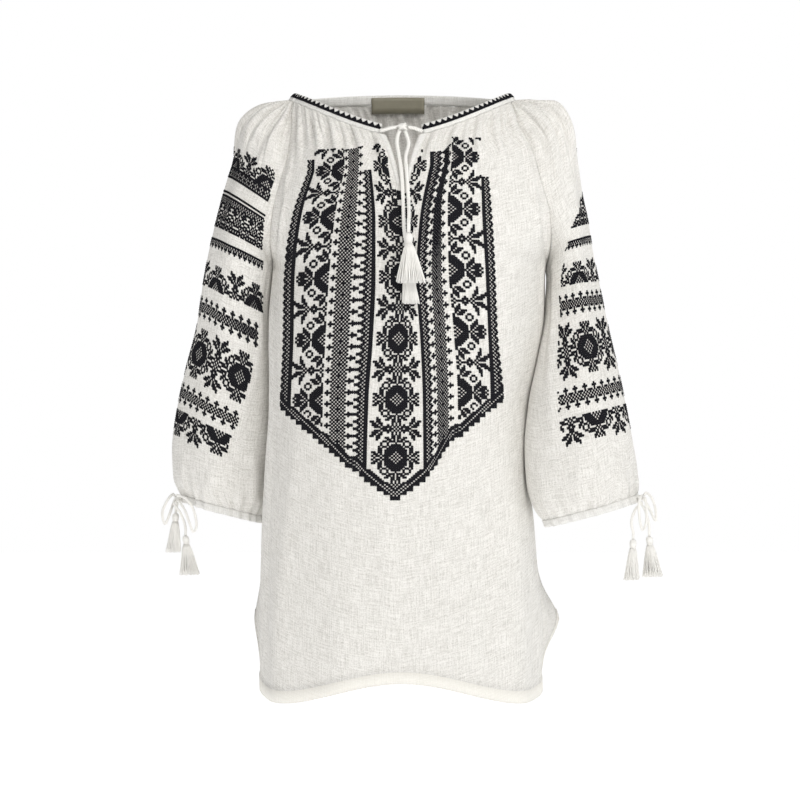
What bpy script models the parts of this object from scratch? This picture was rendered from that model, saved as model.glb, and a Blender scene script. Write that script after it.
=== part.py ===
"""Gathered linen blouse with raglan sleeves, shown filled out as if worn.

The cloth is a thin wall on surfaces of rings and rows.
Lengths are in millimetres until a mesh or curve is made.
X points to the viewer's right, the front faces -Y, Z is up.
The origin is the middle of the neck opening.
"""

import math

import bmesh
import bpy
import numpy as np
from mathutils import Vector

# Driving sizes
MM = 0.001
WALL = 1.4
SEAM_PULL = 0.18
BAND_GAP = 0.35
LAID_GAP = 0.35
UNDERARM_Z = -200.0
UNDERARM_ROW = 6.0
UNDERARM_RISE = 3.6
HEM_DEPTH = 13.0
HEM_EXTRA = 0.5
SLIT_ROW = 3.0
SLIT_HALF_GAP = 18.0
SLIT_MIDDLE_X = -2.0
BINDING_WIDTH = 9.0
BINDING_WALL = 1.0
BAND_HEIGHT = 12.0
BAND_WALL = 2.4
BAND_LEFT_END = -28.0
BAND_RIGHT_END = 22.0
CUFF_HEIGHT = 9.0
LABEL_WIDTH = 64.0
LABEL_WALL = 0.8
LABEL_PROFILE = ((9.5, -2.5), (5.4, -2.55), (-9.5, -4.0))
LABEL_MIDDLE_X = -7.0
NECK_CORD = 4.6
WRIST_CORD = 3.4
TIE_GAP = 0.35
KNOT_GAP = 0.45

# Columns: half the cells are kept below the gathers
PANEL_CELLS = 60
SLEEVE_CELLS = 48

ARM_COLUMNS = ("row", "outer_x", "outer_z", "inner_x", "inner_z", "depth", "middle_y", "span")
ARM_LEFT = (
    (0, 134, -2, 127, -6, 24, 0, 90),
    (1, 160, -8, 129, -34, 34, 0, 84),
    (2, 186, -30, 132, -66, 44, 0, 82),
    (3, 195, -68, 142, -104, 51, 0, 88),
    (4, 205, -101, 150, -138, 52, 0, 105),
    (5, 214, -135, 153, -170, 53, 0, 135),
    (6, 222, -166, 151, -200, 52, 0, 180),
    (7, 232, -212, 155, -244, 50, 10, 180),
    (8, 241, -262, 154, -296, 49, 24, 180),
    (9, 255, -312, 152, -345, 49, 34, 180),
    (10, 266, -360, 151, -392, 50, 40, 180),
    (11, 272, -405, 153, -435, 50, 42, 180),
    (12, 270, -437, 157, -466, 48, 42, 180),
    (13, 261, -458, 166, -484, 40, 42, 180),
)
ARM_RIGHT = (
    (0, 130, -2, 123, -6, 24, 0, 90),
    (1, 173, -3, 131, -32, 34, 0, 84),
    (2, 195, -33, 146, -62, 44, 0, 82),
    (3, 200, -72, 156, -100, 51, 0, 88),
    (4, 204, -108, 166, -136, 52, 0, 105),
    (5, 211, -142, 168, -169, 53, 0, 135),
    (6, 216, -172, 164, -200, 52, 0, 180),
    (7, 224, -218, 162, -245, 50, -14, 180),
    (8, 233, -268, 154, -300, 48, -32, 180),
    (9, 244, -318, 143, -354, 48, -44, 180),
    (10, 253, -364, 137, -402, 48, -50, 180),
    (11, 260, -405, 139, -441, 48, -52, 180),
    (12, 262, -436, 147, -470, 46, -52, 180),
    (13, 263, -455, 158, -484, 39, -52, 180),
)
YOKE_COLUMNS = ("row", "middle_y", "middle_z", "half_turn", "round")
FRONT_YOKE = (
    (0, -89, -54, 75, 1.5),
    (1, -96, -68, 62, 1.6),
    (2, -104, -88, 56, 1.7),
    (3, -111, -116, 56, 1.8),
    (4, -116, -148, 62, 1.9),
    (5, -119, -180, 74, 2.0),
    (6, -120, -208, 90, 2.0),
)
BACK_YOKE = (
    (0, 79, 4, 75, 2.0),
    (1, 86, -10, 62, 2.0),
    (2, 94, -38, 58, 2.0),
    (3, 100, -75, 58, 2.0),
    (4, 104, -116, 64, 2.0),
    (5, 106, -160, 75, 2.0),
    (6, 106, -206, 90, 2.0),
)
TORSO_COLUMNS = ("drop", "left_x", "right_x", "front_y", "back_y")
TORSO = (
    (200, -151, 164, -120, 106),
    (250, -151, 158, -119, 106),
    (300, -153, 150, -116, 104),
    (356, -155, 141, -114, 102),
    (420, -160, 143, -115, 104),
    (500, -164, 151, -117, 108),
    (602, -166, 158, -119, 112),
    (690, -166, 160, -116, 114),
)
HEM_COLUMNS = ("face", "middle_z", "low", "side_lift")
HEM = {
    -1: dict(zip(HEM_COLUMNS[1:], (-664.0, -26.0, 88.0))),
    1: dict(zip(HEM_COLUMNS[1:], (-684.0, -10.0, 92.0))),
}
HEM_LOW_AT = 0.62
SIDE_FLARE = {-1: 7.0, 1: 22.0}

# Rows shared along the raglan and side seams
YOKE_ROWS = (0.0, 0.35, 0.8, 1.4, 2.1, 3.0, 4.0, 5.0, 5.55, 6.0)
BODY_ROWS = (0.022, 0.08, 0.17, 0.28, 0.4, 0.52, 0.64, 0.76, 0.88)
ARM_ROWS = (6.24, 7.0, 8.0, 9.0, 10.0, 11.0, 11.7, 12.4, 13.0)

# Largest folds: place across from -1 to 1, half width, height, top and bottom drop
FOLD_COLUMNS = ("across", "width", "height", "start", "full")
FRONT_FOLDS = (
    (-0.62, 0.13, 7.0, 380, 660),
    (0.60, 0.12, 8.0, 360, 660),
    (0.02, 0.20, -7.0, 430, 670),
    (-0.86, 0.06, 3.0, 300, 420),
    (0.84, 0.06, 3.5, 280, 420),
    (-0.30, 0.07, 2.5, 470, 640),
    (0.33, 0.08, 2.0, 500, 650),
)
BACK_FOLDS = (
    (-0.55, 0.11, 7.0, 330, 640),
    (-0.14, 0.10, 6.0, 260, 620),
    (0.27, 0.12, 7.0, 300, 640),
    (0.66, 0.10, 6.0, 360, 650),
    (0.05, 0.06, -3.0, 220, 560),
)
SLEEVE_FOLDS = (
    (-0.42, 0.10, 3.0, 60, 240),
    (-0.12, 0.08, 2.5, 40, 150),
    (0.22, 0.10, 3.0, 60, 250),
    (0.52, 0.09, 2.5, 90, 300),
)

# Cord routes from a knot: across, toward the viewer, and down.
# A row with a size under 1.1 is only the direction in which the cord leaves the knot.
NECK_KNOT = (-2.0, -90.0, -42.0)
NECK_KNOT_RADII = (6.6, 4.8, 5.4)
WRIST_KNOT_RADII = (4.6, 4.0, 4.2)
NECK_LEFT = ((-24.6, -1.3, 4.4), (-18.0, 0.4, 3.0), (-1.0, 0.05, 0.1))
NECK_RIGHT = ((22.2, -1.6, 4.6), (17.0, 0.2, 3.2), (1.0, 0.05, 0.1))
NECK_REAR_END = (
    (-0.5, 0.2, 0.85), (-5.8, 7.0, 20), (-3.4, 13.5, 35), (-1.2, 19.5, 50),
    (0.8, 27.5, 83), (1.8, 32.5, 115), (4.0, 35.0, 132),
)
NECK_FRONT_END = (
    (0.5, 0.2, 0.85), (7.2, 7.0, 20), (3.8, 13.8, 35), (4.6, 20.5, 50),
    (6.8, 30.0, 83), (7.4, 43.0, 101), (6.8, 49.0, 112),
)
LEFT_LOOP_ONE = (
    (-0.79, -0.29, -0.5), (-13, 1.0, 2), (-18.5, 4.5, 16), (-15.5, 6.0, 29),
    (-10.8, 3.5, 20), (-0.67, -0.62, 0.35),
)
LEFT_LOOP_TWO = (
    (0.24, 0.87, 0.4), (9.0, 12.5, 14), (14.0, 15.5, 27), (18.5, 16.0, 37.5),
    (22.5, 16.5, 30), (19.0, 17.0, 12), (10.0, 15.5, -1), (-0.05, 0.84, -0.5),
)
LEFT_END_ONE = ((-0.29, -0.14, 0.95), (-3.2, -0.6, 9))
LEFT_END_TWO = ((-0.57, 0.54, 0.6), (2.6, 8.0, 16), (7.6, 7.0, 28), (8.8, 6.5, 35))
RIGHT_LOOP_ONE = (
    (-0.06, 0.96, -0.1), (-2.6, 12.0, 9), (-1.6, 13.0, 25), (1.6, 13.0, 36),
    (5.6, 13.0, 27), (6.0, 11.0, 12), (0.58, 0.76, 0.1),
)
RIGHT_LOOP_TWO = (
    (0.84, -0.16, -0.5), (13.5, -1.0, 1), (17.5, 1.0, 14), (17.0, 2.5, 26),
    (12.6, 0.5, 17), (0.7, -0.55, 0.4),
)
RIGHT_END_ONE = ((-0.1, 0.56, 0.8), (-6.6, 7.5, 14), (-10.6, 7.5, 27), (-8.5, 7.0, 39))
RIGHT_END_TWO = ((0.29, -0.03, 0.95), (5.6, -0.8, 14), (9.4, -0.8, 27), (10.4, -0.8, 36))

CLOTH_COLOUR = (0.86, 0.84, 0.79, 1.0)
BAND_COLOUR = (0.90, 0.89, 0.86, 1.0)
CORD_COLOUR = (0.93, 0.92, 0.90, 1.0)
LABEL_COLOUR = (0.33, 0.33, 0.28, 1.0)


class Table:
    """Short table of named columns, read between its rows by a smooth curve."""

    def __init__(self, names, rows):
        data = np.array(rows, dtype=float)
        self.keys = data[:, 0]
        self.columns = {name: data[:, place] for place, name in enumerate(names)}
        self.slopes = {name: self.column_slopes(values) for name, values in self.columns.items()}

    def column_slopes(self, values):
        steps = np.diff(values) / np.diff(self.keys)
        slopes = np.zeros(len(values))
        slopes[0] = steps[0]
        slopes[-1] = steps[-1]
        for place in range(1, len(values) - 1):
            before, after = steps[place - 1], steps[place]
            if before * after > 0.0:
                slopes[place] = 2.0 * before * after / (before + after)
        return slopes

    def at(self, name, key):
        key = min(max(key, self.keys[0]), self.keys[-1])
        place = int(np.searchsorted(self.keys, key, side="right")) - 1
        place = min(max(place, 0), len(self.keys) - 2)
        width = self.keys[place + 1] - self.keys[place]
        part = (key - self.keys[place]) / width
        values = self.columns[name]
        slopes = self.slopes[name]
        start = (1.0 + 2.0 * part) * (1.0 - part) ** 2 * values[place]
        start += part * (1.0 - part) ** 2 * width * slopes[place]
        end = part * part * (3.0 - 2.0 * part) * values[place + 1]
        end += part * part * (part - 1.0) * width * slopes[place + 1]
        return start + end


def unit(vector):
    return vector / max(float(np.linalg.norm(vector)), 1e-9)


def smooth(low, high, value):
    part = min(max((value - low) / (high - low), 0.0), 1.0)
    return part * part * (3.0 - 2.0 * part)


def notch(depth, size):
    """Sideways step just under the arm, where sleeve and side part."""
    if depth <= 0.0:
        return 0.0
    part = depth / 12.0
    return size * part * math.exp(1.0 - part)


def numeric_normal(point, across, row, limits, middle):
    step = 1e-3
    low, high = limits
    left = point(max(across - step, -1.0), row)
    right = point(min(across + step, 1.0), row)
    above = point(across, max(row - step, low))
    below = point(across, min(row + step, high))
    normal = unit(np.cross(right - left, below - above))
    outward = point(across, row) - middle
    return normal if float(np.dot(normal, outward)) > 0.0 else -normal


class Arm:
    """Sleeve surface: an open arc down to the underarm, then closed rings."""

    def __init__(self, side, rows):
        self.side = side
        self.table = Table(ARM_COLUMNS, rows)

    def ring(self, row):
        at = self.table.at
        outer = np.array((at("outer_x", row), at("outer_z", row)))
        inner = np.array((at("inner_x", row), at("inner_z", row)))
        span = math.radians(at("span", min(row, UNDERARM_ROW)))
        length = float(np.linalg.norm(outer - inner))
        along = (outer - inner) / length
        reach = length / (1.0 - math.cos(span))
        return outer - reach * along, along, reach, span

    def middle(self, row):
        centre = self.ring(row)[0]
        return np.array((self.side * centre[0], self.table.at("middle_y", row), centre[1]))

    def point(self, turn, row):
        centre, along, reach, span = self.ring(row)
        angle = turn * span
        flat = centre + reach * math.cos(angle) * along
        depth = (row - UNDERARM_ROW) * 46.0
        inside = max(-math.cos(angle), 0.0) ** 3
        out = flat[0] + notch(depth, 4.0) * inside
        y = self.table.at("middle_y", row) + self.table.at("depth", row) * math.sin(angle)
        return np.array((self.side * out, y, flat[1]))

    def normal(self, turn, row):
        return numeric_normal(self.point, turn, row, (0.0, 13.0), self.middle(row))

    def down(self, row):
        return unit(self.middle(row) - self.middle(row - 0.6))


class Panel:
    """Front or back: rows between the raglan seams, then down to the hem."""

    def __init__(self, face, rows, arms):
        self.face = face
        self.table = Table(YOKE_COLUMNS, rows)
        self.torso = Table(TORSO_COLUMNS, TORSO)
        self.arms = arms
        self.depth_name = "front_y" if face < 0 else "back_y"

    def yoke_point(self, across, row):
        left = self.arms[-1].point(self.face, row)
        right = self.arms[1].point(self.face, row)
        half_turn = math.radians(self.table.at("half_turn", row))
        angle = across * half_turn
        place = math.sin(angle) / math.sin(half_turn)
        edge = left + (right - left) * (place + 1.0) / 2.0
        bow = (math.cos(angle) - math.cos(half_turn)) / (1.0 - math.cos(half_turn))
        y = edge[1] + (self.table.at("middle_y", row) - edge[1]) * bow
        sag = 1.0 - abs(place) ** self.table.at("round", row)
        z = edge[2] + (self.table.at("middle_z", row) - edge[2]) * sag
        return np.array((edge[0], y, z))

    def hem_height(self, across):
        hem = HEM[self.face]
        dip = hem["low"] * math.sin(math.pi / 2.0 * min(abs(across) / HEM_LOW_AT, 1.0)) ** 2
        return hem["middle_z"] + dip + hem["side_lift"] * abs(across) ** 14

    def point(self, across, row):
        if row <= UNDERARM_ROW:
            return self.yoke_point(across, row)
        angle = across * math.pi / 2.0
        top = self.yoke_point(across, UNDERARM_ROW)[2]
        z = top + (self.hem_height(across) - top) * (row - UNDERARM_ROW)
        left = self.torso.at("left_x", -z)
        right = self.torso.at("right_x", -z)
        side = -1 if across < 0.0 else 1
        reach = (right - left) / 2.0
        reach -= notch(UNDERARM_Z - z, 3.0) * abs(across) ** 8
        flare = SIDE_FLARE[side] * math.exp(-((z + 604.0) / 34.0) ** 2)
        x = (left + right) / 2.0 + (reach + flare * abs(across) ** 14) * math.sin(angle)
        y = self.torso.at(self.depth_name, -z) * math.cos(angle)
        return np.array((x, y, z))

    def normal(self, across, row):
        middle = np.array((0.0, 0.0, self.point(across, row)[2]))
        low = UNDERARM_ROW + 1e-6 if row > UNDERARM_ROW else 0.0
        high = UNDERARM_ROW if row <= UNDERARM_ROW else 7.0
        return numeric_normal(self.point, across, row, (low, high), middle)

    def across_at(self, x, row):
        """Place across the row, from -1 to 1, of a distance x."""
        low, high = -1.0, 1.0
        for _ in range(40):
            middle = (low + high) / 2.0
            if self.point(middle, row)[0] < x:
                low = middle
            else:
                high = middle
        return (low + high) / 2.0


ARMS = {-1: Arm(-1, ARM_LEFT), 1: Arm(1, ARM_RIGHT)}
PANELS = {-1: Panel(-1, FRONT_YOKE, ARMS), 1: Panel(1, BACK_YOKE, ARMS)}


def band_direction(point, tangent):
    """Upward direction of the neckband at a point of the neck ring."""
    inward = unit(np.array((-point[0], -4.0 - point[1], 0.0)))
    side = min(abs(point[0]) / 130.0, 1.0)
    rise = math.radians(78.0 - 32.0 * side ** 2)
    raw = inward * math.cos(rise) + np.array((0.0, 0.0, math.sin(rise)))
    return unit(raw - tangent * float(np.dot(raw, tangent)))


def neck_frame(surface, place):
    """Point, tangent, upward and outward directions on the neck ring."""
    step = 0.01
    point = surface.point(place, 0.0)
    before = surface.point(max(place - step, -1.0), 0.0)
    after = surface.point(min(place + step, 1.0), 0.0)
    tangent = unit(after - before)
    up = band_direction(point, tangent)
    outward = unit(np.cross(tangent, up))
    radial = np.array((point[0], point[1] + 4.0, 40.0))
    if float(np.dot(outward, radial)) < 0.0:
        outward = -outward
    return point, tangent, up, outward


def fold_height(folds, across, drop):
    total = 0.0
    for row in folds:
        fold = dict(zip(FOLD_COLUMNS, row))
        shape = math.exp(-((across - fold["across"]) / fold["width"]) ** 2)
        total += fold["height"] * shape * smooth(fold["start"], fold["full"], drop)
    return total


def away_from_edges(across):
    return smooth(0.0, 0.10, 1.0 - abs(across))


class Grid:
    """Rows and columns of points with normals, made into a closed wall."""

    def __init__(self, rows, columns):
        self.rows = rows
        self.columns = columns
        shape = (len(rows), columns, 3)
        self.base = np.zeros(shape)
        self.normal = np.zeros(shape)
        self.outer_lift = np.zeros(shape[:2])
        self.inner_lift = np.full(shape[:2], -WALL)
        self.steps = [1] * len(rows)
        self.welds = [False] * len(rows)
        self.weld_pair = None
        self.open_cell = None

    def pull_edge(self, column, toward, rows):
        """Move an edge column back from its seam, square to the seam."""
        moves = {}
        for place in rows:
            before = self.base[max(place - 1, rows[0]), column]
            after = self.base[min(place + 1, rows[-1]), column]
            seam = unit(after - before)
            side = self.base[place, toward] - self.base[place, column]
            side = side - seam * float(np.dot(side, seam))
            moves[place] = unit(side) * SEAM_PULL
        for place, move in moves.items():
            self.base[place, column] += move

    def index(self, row, column):
        if self.welds[row] and column == self.weld_pair[1]:
            column = self.weld_pair[0]
        return row * self.columns + column

    def strip(self, row):
        upper, lower = self.steps[row], self.steps[row + 1]
        step = max(upper, lower)
        for column in range(0, self.columns - 1):
            local = column
            if self.open_cell is not None:
                if column == self.open_cell:
                    continue
                if column > self.open_cell:
                    local = column - self.open_cell - 1
            if local % step:
                continue
            a, b = self.index(row, column), self.index(row, column + step)
            c, d = self.index(row + 1, column + step), self.index(row + 1, column)
            if upper == lower:
                yield (a, d, c, b)
            elif upper < lower:
                middle = self.index(row, column + 1)
                yield (a, d, middle)
                yield (middle, d, c)
                yield (middle, c, b)
            else:
                middle = self.index(row + 1, column + 1)
                yield (a, d, middle)
                yield (a, middle, b)
                yield (b, middle, c)

    def solid(self, name, colour, flip):
        outer = self.base + self.normal * self.outer_lift[..., None]
        inner = self.base + self.normal * self.inner_lift[..., None]
        faces = []
        for row in range(len(self.rows) - 1):
            faces.extend(self.strip(row))
        if flip:
            faces = [tuple(reversed(face)) for face in faces]
        used = sorted({corner for face in faces for corner in face})
        new = {old: place for place, old in enumerate(used)}
        faces = [tuple(new[corner] for corner in face) for face in faces]
        outer_points = outer.reshape(-1, 3)[used]
        inner_points = inner.reshape(-1, 3)[used]
        count = len(used)
        edges = set()
        for face in faces:
            edges.update(zip(face, face[1:] + face[:1]))
        rim = [(b, a, a + count, b + count) for a, b in sorted(edges) if (b, a) not in edges]
        back = [tuple(corner + count for corner in reversed(face)) for face in faces]
        points = np.concatenate((outer_points, inner_points))
        return make_mesh(name, points, faces + back + rim, colour)


def make_material(name, colour):
    material = bpy.data.materials.new(name)
    material.use_nodes = True
    shader = material.node_tree.nodes["Principled BSDF"]
    shader.inputs["Base Color"].default_value = colour
    shader.inputs["Roughness"].default_value = 0.85
    return material


def make_mesh(name, points, faces, colour):
    mesh = bpy.data.meshes.new(name)
    mesh.from_pydata([tuple(point * MM) for point in np.asarray(points)], [], faces)
    body = bmesh.new()
    body.from_mesh(mesh)
    bmesh.ops.recalc_face_normals(body, faces=body.faces)
    body.to_mesh(mesh)
    body.free()
    mesh.materials.append(make_material(name + "_material", colour))
    thing = bpy.data.objects.new(name, mesh)
    bpy.context.scene.collection.objects.link(thing)
    return thing


def seam_normal(side, face, row):
    panel = PANELS[face].normal(float(side), row)
    arm = ARMS[side].normal(float(face), row)
    return unit(panel + arm)


def panel_columns(panel, row):
    """Places across, with the slit left open on the front."""
    half = PANEL_CELLS // 2
    if panel.face > 0:
        return [2.0 * place / PANEL_CELLS - 1.0 for place in range(PANEL_CELLS + 1)]
    gap = SLIT_HALF_GAP * max(1.0 - row / SLIT_ROW, 0.0)
    middle = panel.across_at(SLIT_MIDDLE_X, min(row, 7.0)) if row <= UNDERARM_ROW else 0.0
    middle *= 1.0 - smooth(SLIT_ROW, UNDERARM_ROW, row)
    left, right = middle, middle
    if gap > 0.0:
        left = panel.across_at(SLIT_MIDDLE_X - gap, row)
        right = panel.across_at(SLIT_MIDDLE_X + gap, row)
    first = [-1.0 + (left + 1.0) * place / half for place in range(half + 1)]
    second = [right + (1.0 - right) * place / half for place in range(half + 1)]
    return first + second


def panel_gather(panel, column, across, row):
    """Small gathers under the neckband, ridge and valley by turns."""
    half = PANEL_CELLS // 2
    place = column
    if panel.face < 0:
        place = column if column <= half else column - half - 1
        from_slit = (half - column) if column <= half else place
        if from_slit < 3:
            return 0.0
    if place in (0, PANEL_CELLS if panel.face > 0 else half) and abs(across) > 0.99:
        return 0.0
    height = 1.15 + 1.1 * smooth(0.0, 0.9, row) - 2.25 * smooth(1.2, SLIT_ROW, row)
    return height * (1.0 if place % 2 else -1.0)


def build_panel(name, face, folds):
    panel = PANELS[face]
    hem_row = 7.0 - HEM_DEPTH / 440.0
    rows = list(YOKE_ROWS) + [UNDERARM_ROW + part for part in BODY_ROWS]
    rows += [hem_row, hem_row + 0.003, 7.0]
    columns = PANEL_CELLS + (2 if face < 0 else 1)
    grid = Grid(rows, columns)
    last = columns - 1
    for place, row in enumerate(rows):
        grid.steps[place] = 1 if row <= SLIT_ROW else 2
        for column, across in enumerate(panel_columns(panel, row)):
            grid.base[place, column] = panel.point(across, row)
            grid.normal[place, column] = panel.normal(across, row)
            lift = panel_gather(panel, column, across, row) if row < SLIT_ROW else 0.0
            drop = -grid.base[place, column][2]
            lift += fold_height(folds, across, drop) * away_from_edges(across)
            grid.outer_lift[place, column] = lift
            grid.inner_lift[place, column] = lift - WALL
            if place >= len(rows) - 2:
                grid.outer_lift[place, column] += HEM_EXTRA
                grid.inner_lift[place, column] -= HEM_EXTRA
            if place == 0:
                grid.normal[place, column] = neck_frame(panel, across)[3]
        for side, column in ((-1, 0), (1, last)):
            if place == 0:
                continue
            if row < UNDERARM_ROW:
                grid.normal[place, column] = seam_normal(side, face, row)
            elif row == UNDERARM_ROW:
                grid.normal[place, column] = np.array((0.0, 0.0, -1.0))
                grid.inner_lift[place, column] = -UNDERARM_RISE
            else:
                grid.normal[place, column] = np.array((float(side), 0.0, 0.0))
    if face < 0:
        half = PANEL_CELLS // 2
        grid.open_cell = half
        grid.weld_pair = (half, half + 1)
        grid.welds = [row >= SLIT_ROW for row in rows]
    under = YOKE_ROWS.index(UNDERARM_ROW)
    for column in range(columns):
        grid.base[0, column] -= neck_frame(panel, panel_columns(panel, 0.0)[column])[2] * 0.05
    for column, toward in ((0, 2), (last, last - 2)):
        grid.pull_edge(column, toward, list(range(0, under)))
        grid.pull_edge(column, toward, list(range(under + 1, len(rows))))
        side = -1.0 if column == 0 else 1.0
        grid.base[under, column] += np.array((-side * 0.2, face * SEAM_PULL, 0.0))
    grid.solid(name, CLOTH_COLOUR, face > 0)
    return grid


def sleeve_gather(column, row):
    """Gathers at the neck on every second column, scallops at the cuff."""
    neck = 0.8 + 1.3 * smooth(0.0, 0.9, row) - 2.1 * smooth(1.3, 3.2, row)
    if row < 3.2:
        return neck * (1.0 if (column // 2) % 2 else -1.0)
    cuff = 1.9 * smooth(11.6, 13.0, row)
    return cuff * (1.0 if column % 2 else -1.0)


def cuff_outward(arm, turn):
    """Outward direction at the cuff, square to the way down the arm."""
    down = arm.down(13.0)
    normal = arm.normal(turn, 13.0)
    return unit(normal - down * float(np.dot(normal, down)))


def build_sleeve(name, side):
    arm = ARMS[side]
    rows = list(YOKE_ROWS) + list(ARM_ROWS)
    columns = SLEEVE_CELLS + 1
    grid = Grid(rows, columns)
    last = columns - 1
    grid.weld_pair = (0, last)
    for place, row in enumerate(rows):
        grid.steps[place] = 1 if row > 11.8 else 2
        grid.welds[place] = row >= UNDERARM_ROW
        for column in range(columns):
            turn = 2.0 * column / SLEEVE_CELLS - 1.0
            grid.base[place, column] = arm.point(turn, row)
            grid.normal[place, column] = arm.normal(turn, row)
            edge = column in (0, last)
            lift = 0.0 if edge and row < 11.8 else sleeve_gather(column, row)
            fade = 1.0 - smooth(0.55, 0.9, abs(turn))
            lift += fold_height(SLEEVE_FOLDS, turn, row * 36.0) * fade * (row > 0.0)
            grid.outer_lift[place, column] = lift
            grid.inner_lift[place, column] = lift - WALL
            if place == 0:
                grid.normal[place, column] = neck_frame(arm, turn)[3]
            if row == 13.0:
                grid.normal[place, column] = cuff_outward(arm, turn)
        if 0.0 < row < UNDERARM_ROW:
            grid.normal[place, 0] = seam_normal(side, -1, row)
            grid.normal[place, last] = seam_normal(side, 1, row)
        if row == UNDERARM_ROW:
            grid.normal[place, 0] = np.array((0.0, 0.0, -1.0))
            grid.inner_lift[place, 0] = -UNDERARM_RISE
    under = YOKE_ROWS.index(UNDERARM_ROW)
    for column in range(columns):
        turn = 2.0 * column / SLEEVE_CELLS - 1.0
        grid.base[0, column] -= neck_frame(arm, turn)[2] * 0.05
    grid.pull_edge(0, 2, list(range(0, under)))
    grid.pull_edge(last, last - 2, list(range(0, under)))
    grid.base[under, 0] += np.array((side * 0.25, 0.0, 0.0))
    grid.solid(name, CLOTH_COLOUR, side > 0)
    return grid


def ring_solid(name, sections, closed, colour):
    """Closed body swept through sections that hold the same number of points."""
    count = len(sections[0])
    points = np.concatenate([np.array(section) for section in sections])
    faces = []
    total = len(sections)
    for place in range(total if closed else total - 1):
        here, there = place * count, (place + 1) % total * count
        for corner in range(count):
            after = (corner + 1) % count
            faces.append((here + corner, here + after, there + after, there + corner))
    if not closed:
        faces.append(tuple(reversed(range(count))))
        faces.append(tuple((total - 1) * count + corner for corner in range(count)))
    return make_mesh(name, points, faces, colour)


def band_section(point, up, outward, foot, height, wall):
    """Doubled strip: flat foot, bulged face, folded top."""
    half = wall / 2.0
    middle = -WALL / 2.0
    outline = (
        (foot, middle + half * 0.8),
        (height * 0.45, middle + half * 1.25),
        (height * 0.88, middle + half * 0.9),
        (height, middle),
        (height * 0.88, middle - half * 0.9),
        (height * 0.45, middle - half * 1.25),
        (foot, middle - half * 0.8),
    )
    return [point + up * rise + outward * out for rise, out in outline]


def neck_places():
    """Surfaces and places round the neck, from the slit's right to its left."""
    front, back = PANELS[-1], PANELS[1]
    start = front.across_at(BAND_RIGHT_END, 0.0)
    end = front.across_at(BAND_LEFT_END, 0.0)
    for place in range(14):
        yield front, start + (1.0 - start) * place / 14
    for place in range(12):
        yield ARMS[1], -1.0 + 2.0 * place / 12
    for place in range(30):
        yield back, 1.0 - 2.0 * place / 30
    for place in range(12):
        yield ARMS[-1], 1.0 - 2.0 * place / 12
    for place in range(15):
        yield front, -1.0 + (end + 1.0) * place / 14


def build_neckband():
    sections = []
    for surface, place in neck_places():
        point, _, up, outward = neck_frame(surface, place)
        sections.append(band_section(point, up, outward, BAND_GAP, BAND_HEIGHT, BAND_WALL))
    ring_solid("neckband", sections, False, BAND_COLOUR)


def build_cuff(name, side):
    arm = ARMS[side]
    down = arm.down(13.0)
    sections = []
    for column in range(SLEEVE_CELLS):
        turn = 2.0 * column / SLEEVE_CELLS - 1.0
        point = arm.point(turn, 13.0)
        outward = cuff_outward(arm, turn)
        lift = sleeve_gather(column, 13.0)
        point = point + outward * lift
        flare = 1.0 if column % 2 else -1.0
        section = []
        for drop, out in ((BAND_GAP, 0.7), (4.5, 1.1), (CUFF_HEIGHT, 0.8)):
            section.append(point + down * drop + outward * (out - WALL / 2 + flare * drop * 0.05))
        for drop, out in ((CUFF_HEIGHT, -0.8), (4.5, -1.1), (BAND_GAP, -0.7)):
            section.append(point + down * drop + outward * (out - WALL / 2 + flare * drop * 0.05))
        sections.append(section)
    ring_solid(name, sections, True, BAND_COLOUR)


def build_binding(name, side):
    """Strip on the face of the slit's edge, made from the panel's points."""
    panel = PANELS[-1]
    rows = [row for row in YOKE_ROWS if row < SLIT_ROW]
    rows.append(2.72)
    sections = []
    for row in rows:
        gap = SLIT_HALF_GAP * (1.0 - row / SLIT_ROW)
        width = BINDING_WIDTH * (1.0 - 0.62 * row / SLIT_ROW)
        inner, outer = [], []
        for part in (0.06, 0.5, 1.0):
            x = SLIT_MIDDLE_X + side * (gap + 0.5 + width * part)
            across = panel.across_at(x, row)
            point = panel.point(across, row)
            normal = panel.normal(across, row)
            inner.append(point + normal * LAID_GAP)
            outer.append(point + normal * (LAID_GAP + BINDING_WALL))
        sections.append(inner + outer[::-1])
    ring_solid(name, sections, False, BAND_COLOUR)


def build_label():
    """Blank woven label hanging inside the back neck."""
    panel = PANELS[1]
    sections = []
    for place in range(7):
        x = LABEL_MIDDLE_X + LABEL_WIDTH * (place / 6.0 - 0.5)
        point, _, up, outward = neck_frame(panel, panel.across_at(x, 0.0))
        section = []
        for rise, out in LABEL_PROFILE:
            section.append(point + up * rise + outward * out)
        for rise, out in reversed(LABEL_PROFILE):
            section.append(point + up * rise + outward * (out - LABEL_WALL))
        sections.append(section)
    ring_solid("label", sections, False, LABEL_COLOUR)


def smooth_path(points, spacing):
    """Even points on a smooth curve through the hand-chosen points."""
    points = [np.array(point, dtype=float) for point in points]
    ends = [2.0 * points[0] - points[1]] + points + [2.0 * points[-1] - points[-2]]
    dense = []
    for place in range(len(points) - 1):
        before, start, end, after = ends[place:place + 4]
        for step in range(24):
            t = step / 24.0
            value = 2.0 * start + (end - before) * t
            value = value + (2.0 * before - 5.0 * start + 4.0 * end - after) * t ** 2
            value = value + (3.0 * start - before - 3.0 * end + after) * t ** 3
            dense.append(value / 2.0)
    dense.append(points[-1])
    lengths = [0.0]
    for a, b in zip(dense, dense[1:]):
        lengths.append(lengths[-1] + float(np.linalg.norm(b - a)))
    count = max(4, int(round(lengths[-1] / spacing)) + 1)
    wanted = np.linspace(0.0, lengths[-1], count)
    columns = [np.interp(wanted, lengths, [point[axis] for point in dense]) for axis in range(3)]
    return list(zip(*columns))


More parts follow.
